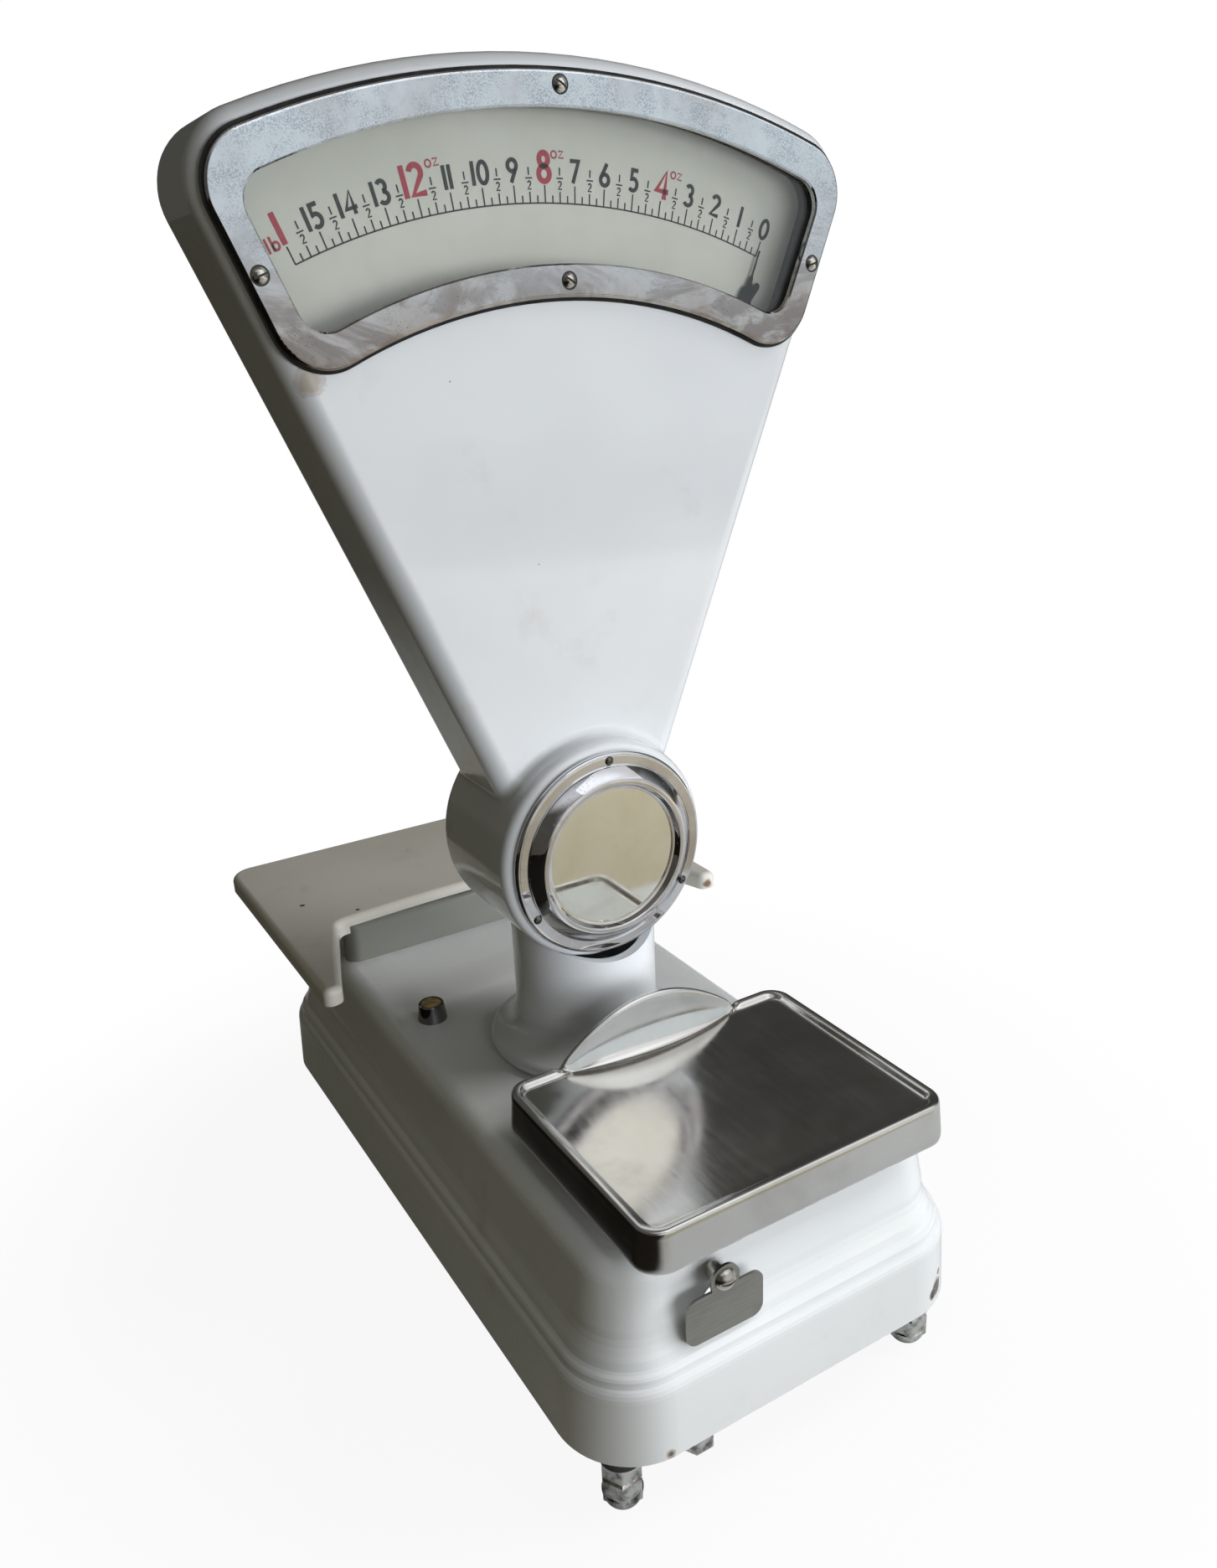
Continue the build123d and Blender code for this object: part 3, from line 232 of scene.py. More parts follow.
def steel(name, pale="B9B8B4", dark="8E8C87", rough=(0.16, 0.32), grain=(900.0, 30.0, 900.0),
          depth=0.12):
    """Sheet or machined steel with directional scratches and soft stains."""
    s = Shader(name)
    lines = s.noise(1.0, 4.0, 0.6, place=s.stretch(grain))
    stains = s.span(s.noise(14.0, 4.0, 0.6, warp=0.6), 0.40, 0.72)
    color = s.blend(s.sum("MULTIPLY", stains, 0.6), tone(pale), tone(dark))
    fine = s.span(lines, 0.35, 0.7)
    color = s.blend(s.sum("MULTIPLY", fine, 0.10), color, tone("F0EFEA"))
    roughness = s.span(s.sum("ADD", s.sum("MULTIPLY", lines, 0.4),
                             s.sum("MULTIPLY", s.noise(30.0, 4.0), 0.6)), 0.3, 0.75, *rough)
    s.bump(lines, depth, 0.0002)
    return s.set(color=color, metal=1.0, rough=roughness).material


def painted(name, pale, deep, rough=(0.35, 0.6), scale=60.0, depth=0.2):
    """Plain paint, rubber or cast skin with fine texture."""
    s = Shader(name)
    color = s.blend(s.span(s.noise(scale * 0.4, 4.0), 0.3, 0.7), tone(pale), tone(deep))
    roughness = s.span(s.noise(scale, 4.0), 0.3, 0.7, *rough)
    s.bump(s.noise(scale * 6.0, 4.0), depth, 0.0006)
    return s.set(color=color, rough=roughness).material


def chart_paint(name):
    """Matt printed sheet, faintly mottled and yellowed in patches."""
    s = Shader(name)
    color = s.blend(s.span(s.noise(18.0, 4.0), 0.3, 0.7), tone("B4B5AF"), tone("ACAEA6"))
    color = s.blend(s.sum("MULTIPLY", s.span(s.noise(90.0, 5.0), 0.45, 0.75), 0.25), color,
                    tone("A3A396"))
    s.bump(s.noise(900.0, 2.0), 0.08, 0.0002)
    return s.set(color=color, rough=s.span(s.noise(50.0), 0.3, 0.7, 0.42, 0.55)).material


def ink(name, code, worn):
    s = Shader(name)
    color = s.blend(s.span(s.noise(400.0, 4.0), 0.55, 0.75, 0.0, 0.35), tone(code), tone(worn))
    return s.set(color=color, rough=0.5).material


def clear_glass(name):
    """Window glass; lamp light passes straight through it, so what lies behind stays lit."""
    s = Shader(name)
    s.set(color=(0.975, 0.98, 0.97, 1.0), clear=1.0, ior=1.45)
    s.set(rough=s.span(s.noise(12.0, 3.0), 0.4, 0.8, 0.0, 0.03))
    shade = s.node("ShaderNodeBsdfTransparent")
    shade.inputs["Color"].default_value = (0.96, 0.965, 0.95, 1.0)
    mix = s.node("ShaderNodeMixShader")
    s.link(s.node("ShaderNodeLightPath").outputs["Is Shadow Ray"], mix.inputs["Fac"])
    s.link(s.body.outputs["BSDF"], mix.inputs[1])
    s.link(shade.outputs["BSDF"], mix.inputs[2])
    s.link(mix.outputs["Shader"], s.tree.nodes["Material Output"].inputs["Surface"])
    return s.material


def amber_glass(name):
    s = Shader(name)
    depth = s.span(s.noise(160.0, 2.0), 0.3, 0.7)
    return s.set(color=s.blend(depth, tone("C4A45C"), tone("947334")), rough=0.05, coat=1.0,
                 coat_rough=0.02).material


def silvered_disc(name):
    """Round mirror at the drum's centre, slightly yellowed, with specks of foxing."""
    s = Shader(name)
    clouds = s.span(s.noise(30.0, 5.0, 0.6, warp=0.5), 0.40, 0.75)
    color = s.blend(s.sum("MULTIPLY", clouds, 0.5), tone("F1F1EA"), tone("E2DCC4"))
    specks = s.span(s.cells(420.0), 0.16, 0.06)
    specks = s.sum("MULTIPLY", specks, s.span(s.noise(60.0, 4.0), 0.56, 0.64))
    color = s.blend(s.sum("MULTIPLY", specks, 0.5), color, tone("9B927A"))
    return s.set(color=color, rough=s.span(s.noise(70.0, 3.0), 0.3, 0.7, 0.02, 0.07),
                 metal=1.0).material


HEAD_ENAMEL = enamel("head_enamel", "D6DADF", "CED2D8",
                     [((-0.1375, -0.048, 0.556), 0.006, "9A8C72", 0.45)])
BASE_ENAMEL = enamel("base_enamel", "E6E9EC", "DEE2E5",
                     [((0.0990, -0.2453, 0.0555), 0.0050, "14120F", 1.0),
                       ((0.0950, -0.2468, 0.0535), 0.0030, "14120F", 1.0),
                      ((0.1020, -0.2438, 0.0640), 0.0018, "2A231D", 0.9),
                      ((-0.085, -0.247, 0.049), 0.003, "3A2A20", 0.8)])
# Painted shade: the shroud's enamel is a darker copy of the casing's, standing for the shade of the bay
# it stands in, with a heavier film of grime
SHROUD_ENAMEL_PAINTED_SHADE = enamel("shroud_enamel_painted_shade", "9C9E98", "8F918B", [], grime=0.6)
PLATE_ENAMEL = enamel("plate_enamel", "E4E2DC", "D8D5CD",
                      [((-0.120, 0.160, 0.1975), 0.0018, "3A2A20", 0.8),
                       ((-0.090, 0.130, 0.1975), 0.0014, "3A2A20", 0.8),
                       ((0.141, 0.034, 0.190), 0.003, "6A4A30", 0.8)], grime=0.5)
# Painted reflection: the bezel grows darker and browner towards the bottom, over its tarnish
BEZEL_PLATING = plating("bezel_plating_painted_reflection", "DFE4E8", "A08E80", 0.6, (0.04, 0.17), (0.54, 0.66),
                        ripple=6.0, frost=0.55)
RING_PLATING = plating("ring_plating", "DCDCE0", "C0BCBA", 0.25, (0.02, 0.08))
LEVEL_PLATING = plating("level_plating", "7E7E80", "4A4845", 0.4, (0.03, 0.12))
# Painted reflections: bright and near-black small patches on the feet, locknuts and bolt, over the
# plating's tarnish
FOOT_PLATING_PAINTED_REFLECTIONS = plating("foot_plating_painted_reflections", "DDDCD6", "12100E", 0.9, (0.04, 0.12), ripple=9.0,
                       patch=150.0)
SCREW_PLATING = plating("screw_plating", "D6D4CE", "9A9388", 0.5, (0.16, 0.32))
DARK_SCREW = plating("dark_screw", "6E6B66", "35322F", 0.5, (0.10, 0.25))
PAN_STEEL = steel("pan_steel", "DCDBD8", "BAB8B3", (0.09, 0.22), (260.0, 24.0, 260.0), 0.06)
COVER_STEEL = steel("cover_steel", "A09F98", "84837C", (0.28, 0.42), (60.0, 900.0, 900.0), 0.15)
INNER_STEEL = steel("inner_steel")
CAST_SKIN = painted("cast_skin", "3A3A38", "2A2A29", (0.5, 0.75), 80.0, 0.5)
RUBBER_SKIN = painted("rubber_skin", "141414", "20201F", (0.6, 0.8), 90.0, 0.3)
POINTER_PAINT = painted("pointer_paint", "070807", "0E0F0E", (0.6, 0.8), 120.0, 0.1)
BRASS = steel("brass_turned", "B5975A", "8C713C", (0.2, 0.35), (700.0, 50.0, 700.0), 0.1)
CHART = chart_paint("chart_sheet")
GLASS = clear_glass("window_glass")
AMBER = amber_glass("level_amber")
DISC = silvered_disc("drum_disc")

NODE_FINISH = [
    (HEAD_ENAMEL, ["head_front_shell", "head_rear_cover", "column"]),
    (BASE_ENAMEL, ["base_casing"]),
    (SHROUD_ENAMEL_PAINTED_SHADE, ["rear_shroud"]),
    (PLATE_ENAMEL, ["goods_plate"]),
    (BEZEL_PLATING, ["front_bezel", "rear_bezel"]),
    (RING_PLATING, ["drum_ring_front", "drum_ring_rear"]),
    (LEVEL_PLATING, ["level_case"]),
    (FOOT_PLATING_PAINTED_REFLECTIONS, ["foot_front_left", "foot_front_right", "foot_rear_left", "foot_rear_right",
                    "foot_locknuts", "frame_bolt"]),
    (SCREW_PLATING, ["bezel_screws", "cover_screw", "cover_spacer"]),
    (DARK_SCREW, ["ring_screws"]),
    (PAN_STEEL, ["weights_pan"]),
    (COVER_STEEL, ["adjuster_cover"]),
    (INNER_STEEL, ["beam_knives", "fulcrum_bearings", "rod_pin", "weights_bearing",
                   "goods_bearing", "shaft_bearings", "pendulum_shaft", "pointer_rod",
                   "dashpot_piston", "chart_spacers", "dashpot_bracket"]),
    (CAST_SKIN, ["frame_side_rails", "frame_cross_bars", "fulcrum_stand", "main_beam",
                 "check_beam", "weights_carrier", "goods_carrier", "bearing_bridges",
                 "dashpot_arm"]),
    (BRASS, ["balance_weight", "pendulum_weight", "dashpot_cylinder"]),
    (GLASS, ["front_glass", "rear_glass"]),
    (AMBER, ["level_vial"]),
    (RUBBER_SKIN, ["front_gasket", "rear_gasket", "goods_pads", "weights_studs"]),
    (CHART, ["chart_front", "chart_rear"]),
    (POINTER_PAINT, ["pointer_front", "pointer_rear"]),
    (DISC, ["drum_mirror", "drum_rear_disc"]),
]
for finish, members in NODE_FINISH:
    for member in members:
        NODES[member].data.materials.clear()
        NODES[member].data.materials.append(finish)


# ---- Mesh helpers ---------------------------------------------------------------------------

def mesh_object(name, points, faces, finish, smooth=False):
    data = bpy.data.meshes.new(name)
    data.from_pydata(points, [], faces)
    data.validate()
    made = bpy.data.objects.new(name, data)
    bpy.context.scene.collection.objects.link(made)
    data.materials.append(finish)
    if smooth:
        for polygon in data.polygons:
            polygon.use_smooth = True
    return made


def face_outward(made):
    """Turns every face of a closed mesh outward."""
    form = bmesh.new()
    form.from_mesh(made.data)
    bmesh.ops.recalc_face_normals(form, faces=form.faces)
    form.to_mesh(made.data)
    form.free()


# ---- Lettering on the charts ----------------------------------------------------------------

PIVOT_Z = 288.0
SCALE_RADIUS = 345.0
HALF_ANGLE = 22.6
BLACK_INK = ink("black_ink", "0B0E0D", "2C302E")
RED_INK = ink("red_ink", "8C2034", "9C4450")

# Height, stroke and foot above the scale's line of each kind of lettering, in mm
NUMERAL = (10.8, 2.0, 9.5)
RED_NUMERAL = (14.4, 2.75, 9.2)
POUND_NUMERAL = (14.4, 2.8, 9.2)
POUND_MARK = (6.8, 1.2, 8.4)
OUNCE_MARK = (5.0, 0.8, 20.2)
HALF_ABOVE = (3.6, 0.78, 12.7)
HALF_BELOW = (4.0, 0.74, 6.2)
HALF_BAR_LENGTH, HALF_BAR_STROKE, HALF_BAR_RISE = 3.8, 0.7, 11.4
LINE_STROKE = 0.75
OUNCE_TICK, HALF_TICK, QUARTER_TICK = 8.2, 5.2, 3.5


def arc(cx, cy, rx, ry, start, end, steps):
    return [(cx + rx * math.cos(math.radians(start + (end - start) * i / steps)),
             cy + ry * math.sin(math.radians(start + (end - start) * i / steps)))
            for i in range(steps + 1)]


def ribbon(path, width):
    """Left and right rims of a stroke of even width along a path, with mitred turns."""
    closed = math.dist(path[0], path[-1]) < 1e-6
    points = path[:-1] if closed else path
    count = len(points)
    left, right = [], []
    for i, (x, y) in enumerate(points):
        before = points[i - 1] if i or closed else points[0]
        after = points[(i + 1) % count] if i < count - 1 or closed else points[-1]
        sides = []
        for (ax, ay), (bx, by) in ((before, (x, y)), ((x, y), after)):
            length = math.hypot(bx - ax, by - ay)
            if length > 1e-9:
                sides.append((-(by - ay) / length, (bx - ax) / length))
        nx = sum(s[0] for s in sides) / len(sides)
        ny = sum(s[1] for s in sides) / len(sides)
        stretch = min(1 / max(nx * nx + ny * ny, 0.2), 2.6)
        left.append((x + nx * stretch * width / 2, y + ny * stretch * width / 2))
        right.append((x - nx * stretch * width / 2, y - ny * stretch * width / 2))
    quads = [(i, (i + 1) % count) for i in range(count if closed else count - 1)]
    return left, right, quads


# Each glyph: its width and its strokes, in units of the character height
GLYPHS = {
    "0": (0.56, [arc(0.28, 0.5, 0.23, 0.44, 0, 360, 36)]),
    "1": (0.10, [[(0.05, 0.0), (0.05, 1.0)]]),
    "2": (0.54, [arc(0.27, 0.71, 0.21, 0.23, 165, -35, 18) + [(0.05, 0.06), (0.54, 0.06)]]),
    "3": (0.50, [arc(0.22, 0.73, 0.19, 0.21, 150, -90, 18),
                 arc(0.22, 0.28, 0.23, 0.23, 90, -150, 20)]),
    "4": (0.58, [[(0.42, 0.0), (0.42, 0.95), (0.05, 0.27), (0.58, 0.27)]]),
    "5": (0.50, [[(0.46, 0.94), (0.13, 0.94), (0.10, 0.54)]
                 + arc(0.21, 0.31, 0.23, 0.26, 110, -140, 20)]),
    "6": (0.54, [arc(0.27, 0.29, 0.22, 0.24, 0, 360, 32), [(0.08, 0.40), (0.37, 1.0)]]),
    "7": (0.52, [[(0.0, 0.94), (0.46, 0.94), (0.16, 0.0)]]),
    "8": (0.52, [arc(0.26, 0.74, 0.17, 0.20, 0, 360, 28), arc(0.26, 0.28, 0.21, 0.23, 0, 360, 32)]),
    "9": (0.54, [arc(0.27, 0.71, 0.22, 0.24, 0, 360, 32), [(0.46, 0.60), (0.17, 0.0)]]),
    "o": (0.72, [arc(0.36, 0.36, 0.30, 0.32, 0, 360, 24)]),
    "z": (0.62, [[(0.04, 0.66), (0.56, 0.66), (0.04, 0.06), (0.60, 0.06)]]),
    "l": (0.12, [[(0.06, 0.0), (0.06, 1.0)]]),
    "b": (0.56, [[(0.06, 0.0), (0.06, 1.0)], arc(0.29, 0.30, 0.22, 0.25, 0, 360, 24)]),
}


class Print:
    """Flat lettering on a sector chart, gathered into one mesh; facing is 1 in front, -1 behind."""

    def __init__(self, y, facing):
        self.y = y
        self.facing = facing
        self.points = []
        self.faces = []

    def stroke(self, path, width, centre, turn, height):
        left, right, quads = ribbon([(x * height, y * height) for x, y in path], width)
        first = len(self.points)
        for x, z in left + right:
            self.points.append(self.put(x, z, centre, turn))
        count = len(left)
        for i, j in quads:
            self.faces.append((first + i, first + j, first + count + j, first + count + i))

    def put(self, x, z, centre, turn):
        """Page point to the chart: centre is a radius in mm, turn degrees towards +X."""
        x *= self.facing
        radius = centre + z
        a = math.radians(turn)
        return ((x * math.cos(a) + radius * math.sin(a)) * MM, self.y,
                (PIVOT_Z + radius * math.cos(a) - x * math.sin(a)) * MM)

    def word(self, text, style, turn, shift=0.0, gap=0.20):
        height, weight, rise = style
        total = sum(GLYPHS[c][0] for c in text) * height + gap * height * (len(text) - 1)
        pen = -total / 2 + shift
        for c in text:
            for path in GLYPHS[c][1]:
                moved = [(x + pen / height, y) for x, y in path]
                self.stroke(moved, weight, SCALE_RADIUS + rise, turn, height)
            pen += (GLYPHS[c][0] + gap) * height

    def tick(self, tall, turn):
        self.stroke([(0, 0), (0, 1)], LINE_STROKE, SCALE_RADIUS, turn, tall)

    def scale_line(self):
        steps = 120
        first = len(self.points)
        for i in range(steps + 1):
            turn = -HALF_ANGLE + 2 * HALF_ANGLE * i / steps
            self.points.append(self.put(0, -LINE_STROKE / 2, SCALE_RADIUS, turn))
            self.points.append(self.put(0, LINE_STROKE / 2, SCALE_RADIUS, turn))
        for i in range(steps):
            a = first + 2 * i
            self.faces.append((a, a + 2, a + 3, a + 1))

    def make(self, name, finish):
        made = mesh_object(name, self.points, self.faces, finish)
        grown = made.modifiers.new("ink_film", "SOLIDIFY")
        grown.thickness = 0.00005
        grown.offset = 0.0
        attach(made, "stand")
        return made


def print_chart(name, y, facing):
    """One pound by quarter ounces, from 0 at the right to 1 lb at the left."""
    black = Print(y, facing)
    red = Print(y, facing)
    black.scale_line()
    for quarter in range(65):
        turn = HALF_ANGLE - 2 * HALF_ANGLE * quarter / 64
        black.tick(OUNCE_TICK if quarter % 4 == 0 else HALF_TICK if quarter % 2 == 0
                   else QUARTER_TICK, turn)
        if quarter % 4 == 2:
            black.word("2", HALF_BELOW, turn)
            black.stroke([(-HALF_BAR_LENGTH / 2, 0.0), (HALF_BAR_LENGTH / 2, 0.0)],
                         HALF_BAR_STROKE, SCALE_RADIUS + HALF_BAR_RISE, turn, 1.0)
            black.word("1", HALF_ABOVE, turn)
    for ounce in range(16):
        turn = HALF_ANGLE - 2 * HALF_ANGLE * ounce / 16
        if ounce in (4, 8, 12):
            red.word(str(ounce), RED_NUMERAL, turn, gap=0.14)
            side = 7.9 if ounce < 10 else 11.4
            red.word("oz", OUNCE_MARK, turn, shift=side, gap=0.14)
        else:
            black.word(str(ounce), NUMERAL, turn, gap=0.17)
    red.word("1", POUND_NUMERAL, -HALF_ANGLE)
    red.word("lb", POUND_MARK, -HALF_ANGLE, shift=-5.6, gap=0.24)
    black.make(f"{name}_black", BLACK_INK)
    red.make(f"{name}_red", RED_INK)


PRINT_LIFT = 0.00008
print_chart("chart_front_print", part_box("chart_front")[0][1] - PRINT_LIFT, 1)
print_chart("chart_rear_print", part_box("chart_rear")[1][1] + PRINT_LIFT, -1)


# ---- Window liner, screw slots and drum rings -----------------------------------------------

def hull(points):
    """Convex outline of points in a plane, anticlockwise."""
    points = sorted(set(points))

    def half(path):
        chain = []
        for x, y in path:
            while len(chain) > 1 and ((chain[-1][0] - chain[-2][0]) * (y - chain[-2][1])
                                      - (chain[-1][1] - chain[-2][1]) * (x - chain[-2][0])) <= 0:
                chain.pop()
            chain.append((x, y))
        return chain[:-1]

    return half(points) + half(points[::-1])


LINER_THICK, LINER_GAP = 0.0004, 0.0003


def window_liner(name, glass, chart, out):
    """Dark band behind the edge of the glass, along its two ends and its top.

    The outline starts after its longest straight run low down, so that the band leaves it open.
    """
    pane = NODES[glass]
    places = [pane.matrix_world @ v.co for v in pane.data.vertices]
    outline = hull([(round(p.x, 5), round(p.z, 5)) for p in places])
    gap = max(range(len(outline)),
              key=lambda i: math.dist(outline[i - 1], outline[i]) if outline[i][1] < 0.60 else 0)
    outline = outline[gap:] + outline[:gap]
    mid_z = sum(z for x, z in outline) / len(outline)
    path = [(x * 0.9965, z - math.copysign(0.0005, z - mid_z)) for x, z in outline]
    glass_low, glass_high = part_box(glass)
    chart_low, chart_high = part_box(chart)
    y0 = (glass_high[1] if out < 0 else glass_low[1]) - out * LINER_GAP
    y1 = (chart_low[1] if out < 0 else chart_high[1]) + out * LINER_GAP
    points = [(x, y, z) for x, z in path for y in (y0, y1)]
    faces = [(2 * i, 2 * i + 1, 2 * i + 3, 2 * i + 2) for i in range(len(path) - 1)]
    made = mesh_object(name, points, faces, RUBBER_SKIN, smooth=True)
    band = made.modifiers.new("band", "SOLIDIFY")
    band.thickness = LINER_THICK
    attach(made, "stand")


window_liner("window_liner_front", "front_glass", "chart_front", -1)
window_liner("window_liner_rear", "rear_glass", "chart_rear", 1)

# Place and tilt of the slot of each bezel screw: x and z in mm, and degrees
BEZEL_SCREWS = ((0.0, 682.6, 35.0), (0.0, 596.0, 35.0), (-156.0, 601.4, -20.0),
                (156.0, 601.4, -20.0))
# Size of the painted shade in each screw's slot and round its head, in mm
SLOT_LENGTH, SLOT_WIDTH, SLOT_RISE = 6.6, 0.96, 1.3
HEAD_RADIUS, SHADE_RADIUS, SHADE_RISE = 3.6, 4.5, 0.04


def screw_shadows(name, bezel, out):
    """Painted shade: dark sheets in the slots of the bezel's screws and in a ring under their heads."""
    low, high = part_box(bezel)
    face = low[1] if out < 0 else high[1]
    points, faces = [], []
    half_length, half_width = SLOT_LENGTH / 2, SLOT_WIDTH / 2
    corners = ((-half_length, -half_width), (half_length, -half_width), (half_length, half_width),
               (-half_length, half_width))
    steps = 36
    for x, z, tilt in BEZEL_SCREWS:
        turn = math.radians(-tilt if out < 0 else tilt)
        along, across = (math.cos(turn), math.sin(turn)), (-math.sin(turn), math.cos(turn))
        first = len(points)
        for u, v in corners:
            points.append(((x + u * along[0] + v * across[0]) * MM, face + out * SLOT_RISE * MM,
                           (z + u * along[1] + v * across[1]) * MM))
        faces.append((first, first + 1, first + 2, first + 3))
        first = len(points)
        for i in range(steps):
            a = 2 * math.pi * i / steps
            for radius in (HEAD_RADIUS, SHADE_RADIUS):
                points.append(((x + radius * math.cos(a)) * MM, face + out * SHADE_RISE * MM,
                               (z + radius * math.sin(a)) * MM))
        faces += [(first + 2 * i, first + 2 * i + 1, first + (2 * i + 3) % (2 * steps),
                   first + (2 * i + 2) % (2 * steps)) for i in range(steps)]
    made = mesh_object(name, points, faces, CAST_SKIN)
    film = made.modifiers.new("film", "SOLIDIFY")
    film.thickness = 0.00006
    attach(made, "stand")


screw_shadows("front_screw_shade", "front_bezel", -1)
screw_shadows("rear_screw_shade", "rear_bezel", 1)

RING_OUTER, MIRROR_EDGE = 61.5, 42.0
# Ring section from its back outwards and in to the mirror: (radius, stand-off), in mm; pairs of
# close points keep an edge crisp, and the flange carries fine turned grooves
RING_SECTION = [(MIRROR_EDGE + 0.1, 0.0), (RING_OUTER, 0.0), (RING_OUTER, 2.4), (61.3, 3.0),
                (60.8, 3.6), (60.1, 3.95), (59.4, 4.0), (59.35, 4.0), (59.2, 3.7), (59.05, 4.0),
                (59.0, 4.0), (54.9, 4.0), (54.85, 4.0), (54.7, 3.6), (54.4, 3.55), (54.2, 3.7),
                (54.15, 4.0), (53.7, 4.0), (53.5, 4.2), (53.4, 4.7), (53.3, 4.85), (49.2, 8.5),
                (48.2, 9.3), (47.6, 9.75), (46.9, 10.1), (46.0, 10.2), (44.6, 10.2), (44.2, 10.15),
                (43.7, 9.8), (43.5, 9.5), (42.5, 7.2), (42.3, 6.95), (41.9, 6.85), (40.9, 6.8),
                (40.8, 6.75), (40.8, 5.8), (MIRROR_EDGE + 0.1, 5.8)]


def drum_ring(name, out):
    """Turned ring, with the holes of the solid left to the heads of its screws."""
    low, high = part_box(name)
    seat = high[1] if out < 0 else low[1]
    steps = 180
    points = [(r * MM * math.cos(2 * math.pi * i / steps), seat + out * h * MM,
               (PIVOT_Z + r * math.sin(2 * math.pi * i / steps)) * MM)
              for i in range(steps) for r, h in RING_SECTION]
    rows = len(RING_SECTION)
    faces = [(i * rows + k, (i + 1) % steps * rows + k, (i + 1) % steps * rows + (k + 1) % rows,
              i * rows + (k + 1) % rows) for i in range(steps) for k in range(rows)]
    ring = mesh_object(f"{name}_turned", points, faces, RING_PLATING, smooth=True)
    face_outward(ring)
    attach(ring, "stand")
    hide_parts(name)


drum_ring("drum_ring_front", -1)
drum_ring("drum_ring_rear", 1)


# ---- Weights pan ----------------------------------------------------------------------------

PAN_HALF, PAN_FRONT, PAN_REAR, PAN_CORNER = 96.7, -252.0, -102.0, 15.0
PAN_RIM, PAN_HEM = 186.0, 162.0
PAN_DEPTH = 3.5
LIP_HALF, LIP_BOW, LIP_RISE = 60.0, 11.0, 27.0


def smooth(value):
    """Soft step from 0 to 1."""
    value = min(max(value, 0.0), 1.0)
    return value * value * (3 - 2 * value)


def pan_section(lens, notch):
    """Pan sheet from the floor outwards: (inset from the outer wall, height).

    lens runs from 0 on the plain rim to 1 at the middle of the lip, and notch is 1 at its ends.
    """
    bow, rise = LIP_BOW * lens, LIP_RISE * lens - 1.8 * notch
    bead = (1 - smooth(lens / 0.2)) * (1 - 0.45 * notch)
    rim, hem = PAN_RIM, PAN_HEM
    section = [(15.0, 0.0), (10.4, 0.0), (9.4, 0.06), (8.5, 0.4), (7.8, 1.1), (7.2, 2.0),
               (6.5, 2.75), (5.7, 3.22)]
    points = [(u + bow, rim - PAN_DEPTH + z * bead) for u, z in section]
    foot_u, foot_z = points[-1]
    top_u, top_z = 4.8 + 1.2 * lens, rim - 0.06 - 2.7 * lens + rise
    for step in range(1, 10):
        t = step / 9
        sag = 2.4 * lens * math.sin(math.pi * t)
        points.append((foot_u + (top_u - foot_u) * t - sag,
                       foot_z + (top_z - foot_z) * t**(1 + 0.35 * lens)))
    points += [(u + lens * wide, rim + z + rise) for u, z, wide in (
        (4.3, -0.02, 1.0), (3.8, 0.0, 0.6), (3.2, -0.08, 0.3), (2.6, -0.4, 0.0),
        (2.1, -0.95, -0.2), (1.8, -1.7, -0.4), (1.6, -2.6, -0.5))]
    points += [(1.5 - 0.5 * lens, rim - 4.2 + rise * 0.7), (1.35, rim - 6.0 + rise * 0.2)]
    points += [(0.45, hem + 8.0), (0.1, hem + 4.5), (0.1, hem + 2.2), (0.5, hem + 0.7),
               (1.2, hem), (1.9, hem + 0.5), (2.1, hem + 1.6), (2.2, hem + 8.0),
               (2.9, rim - 8.0), (3.6, rim - 5.4), (5.4, rim - 4.7), (9.5 + bow, rim - 4.7),
               (15.0 + bow, rim - 4.7)]
    return points


def pan_rim():
    """Stations round the pan: a wall point, its inward direction, the lens and the notch."""
    stations = []
    x_flat = PAN_HALF - PAN_CORNER
    corners = [((x_flat, PAN_FRONT + PAN_CORNER), -90), ((x_flat, PAN_REAR - PAN_CORNER), 0),
               ((-x_flat, PAN_REAR - PAN_CORNER), 90), ((-x_flat, PAN_FRONT + PAN_CORNER), 180)]
    for number, (centre, start) in enumerate(corners):
        for i in range(15):
            a = math.radians(start + 90 * i / 14)
            out = (math.cos(a), math.sin(a))
            wall = (centre[0] + PAN_CORNER * out[0], centre[1] + PAN_CORNER * out[1])
            stations.append((wall, (-out[0], -out[1]), 0.0, 0.0))
        if number == 1:
            for i in range(97):
                x = (LIP_HALF + 6.0) * (1 - i / 48)
                notch = math.exp(-((abs(x) - LIP_HALF) / 2.2)**2)
                lens = max(1 - (x / LIP_HALF)**2, 0.0)
                stations.append(((x, PAN_REAR), (0.0, -1.0), lens, notch))
    return stations


def weights_pan():
    stations = pan_rim()
    points, faces = [], []
    for (x, y), (dx, dy), lens, notch in stations:
        for u, z in pan_section(lens, notch):
            points.append(((x + dx * u) * MM, (y + dy * u) * MM, z * MM))
    rows = len(pan_section(0.0, 0.0))
    count = len(stations)
    for i in range(count):
        a, b = i * rows, (i + 1) % count * rows
        for k in range(rows - 1):
            faces.append((a + k, b + k, b + k + 1, a + k + 1))
    faces.append(tuple(i * rows for i in reversed(range(count))))
    faces.append(tuple(i * rows + rows - 1 for i in range(count)))
    pan = mesh_object("pan_sheet", points, faces, PAN_STEEL, smooth=True)
    face_outward(pan)
    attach(pan, "weights")
    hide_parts("weights_pan")


weights_pan()


# ---- Floor, lights and world ----------------------------------------------------------------

FLOOR_RADIUS = 6.0


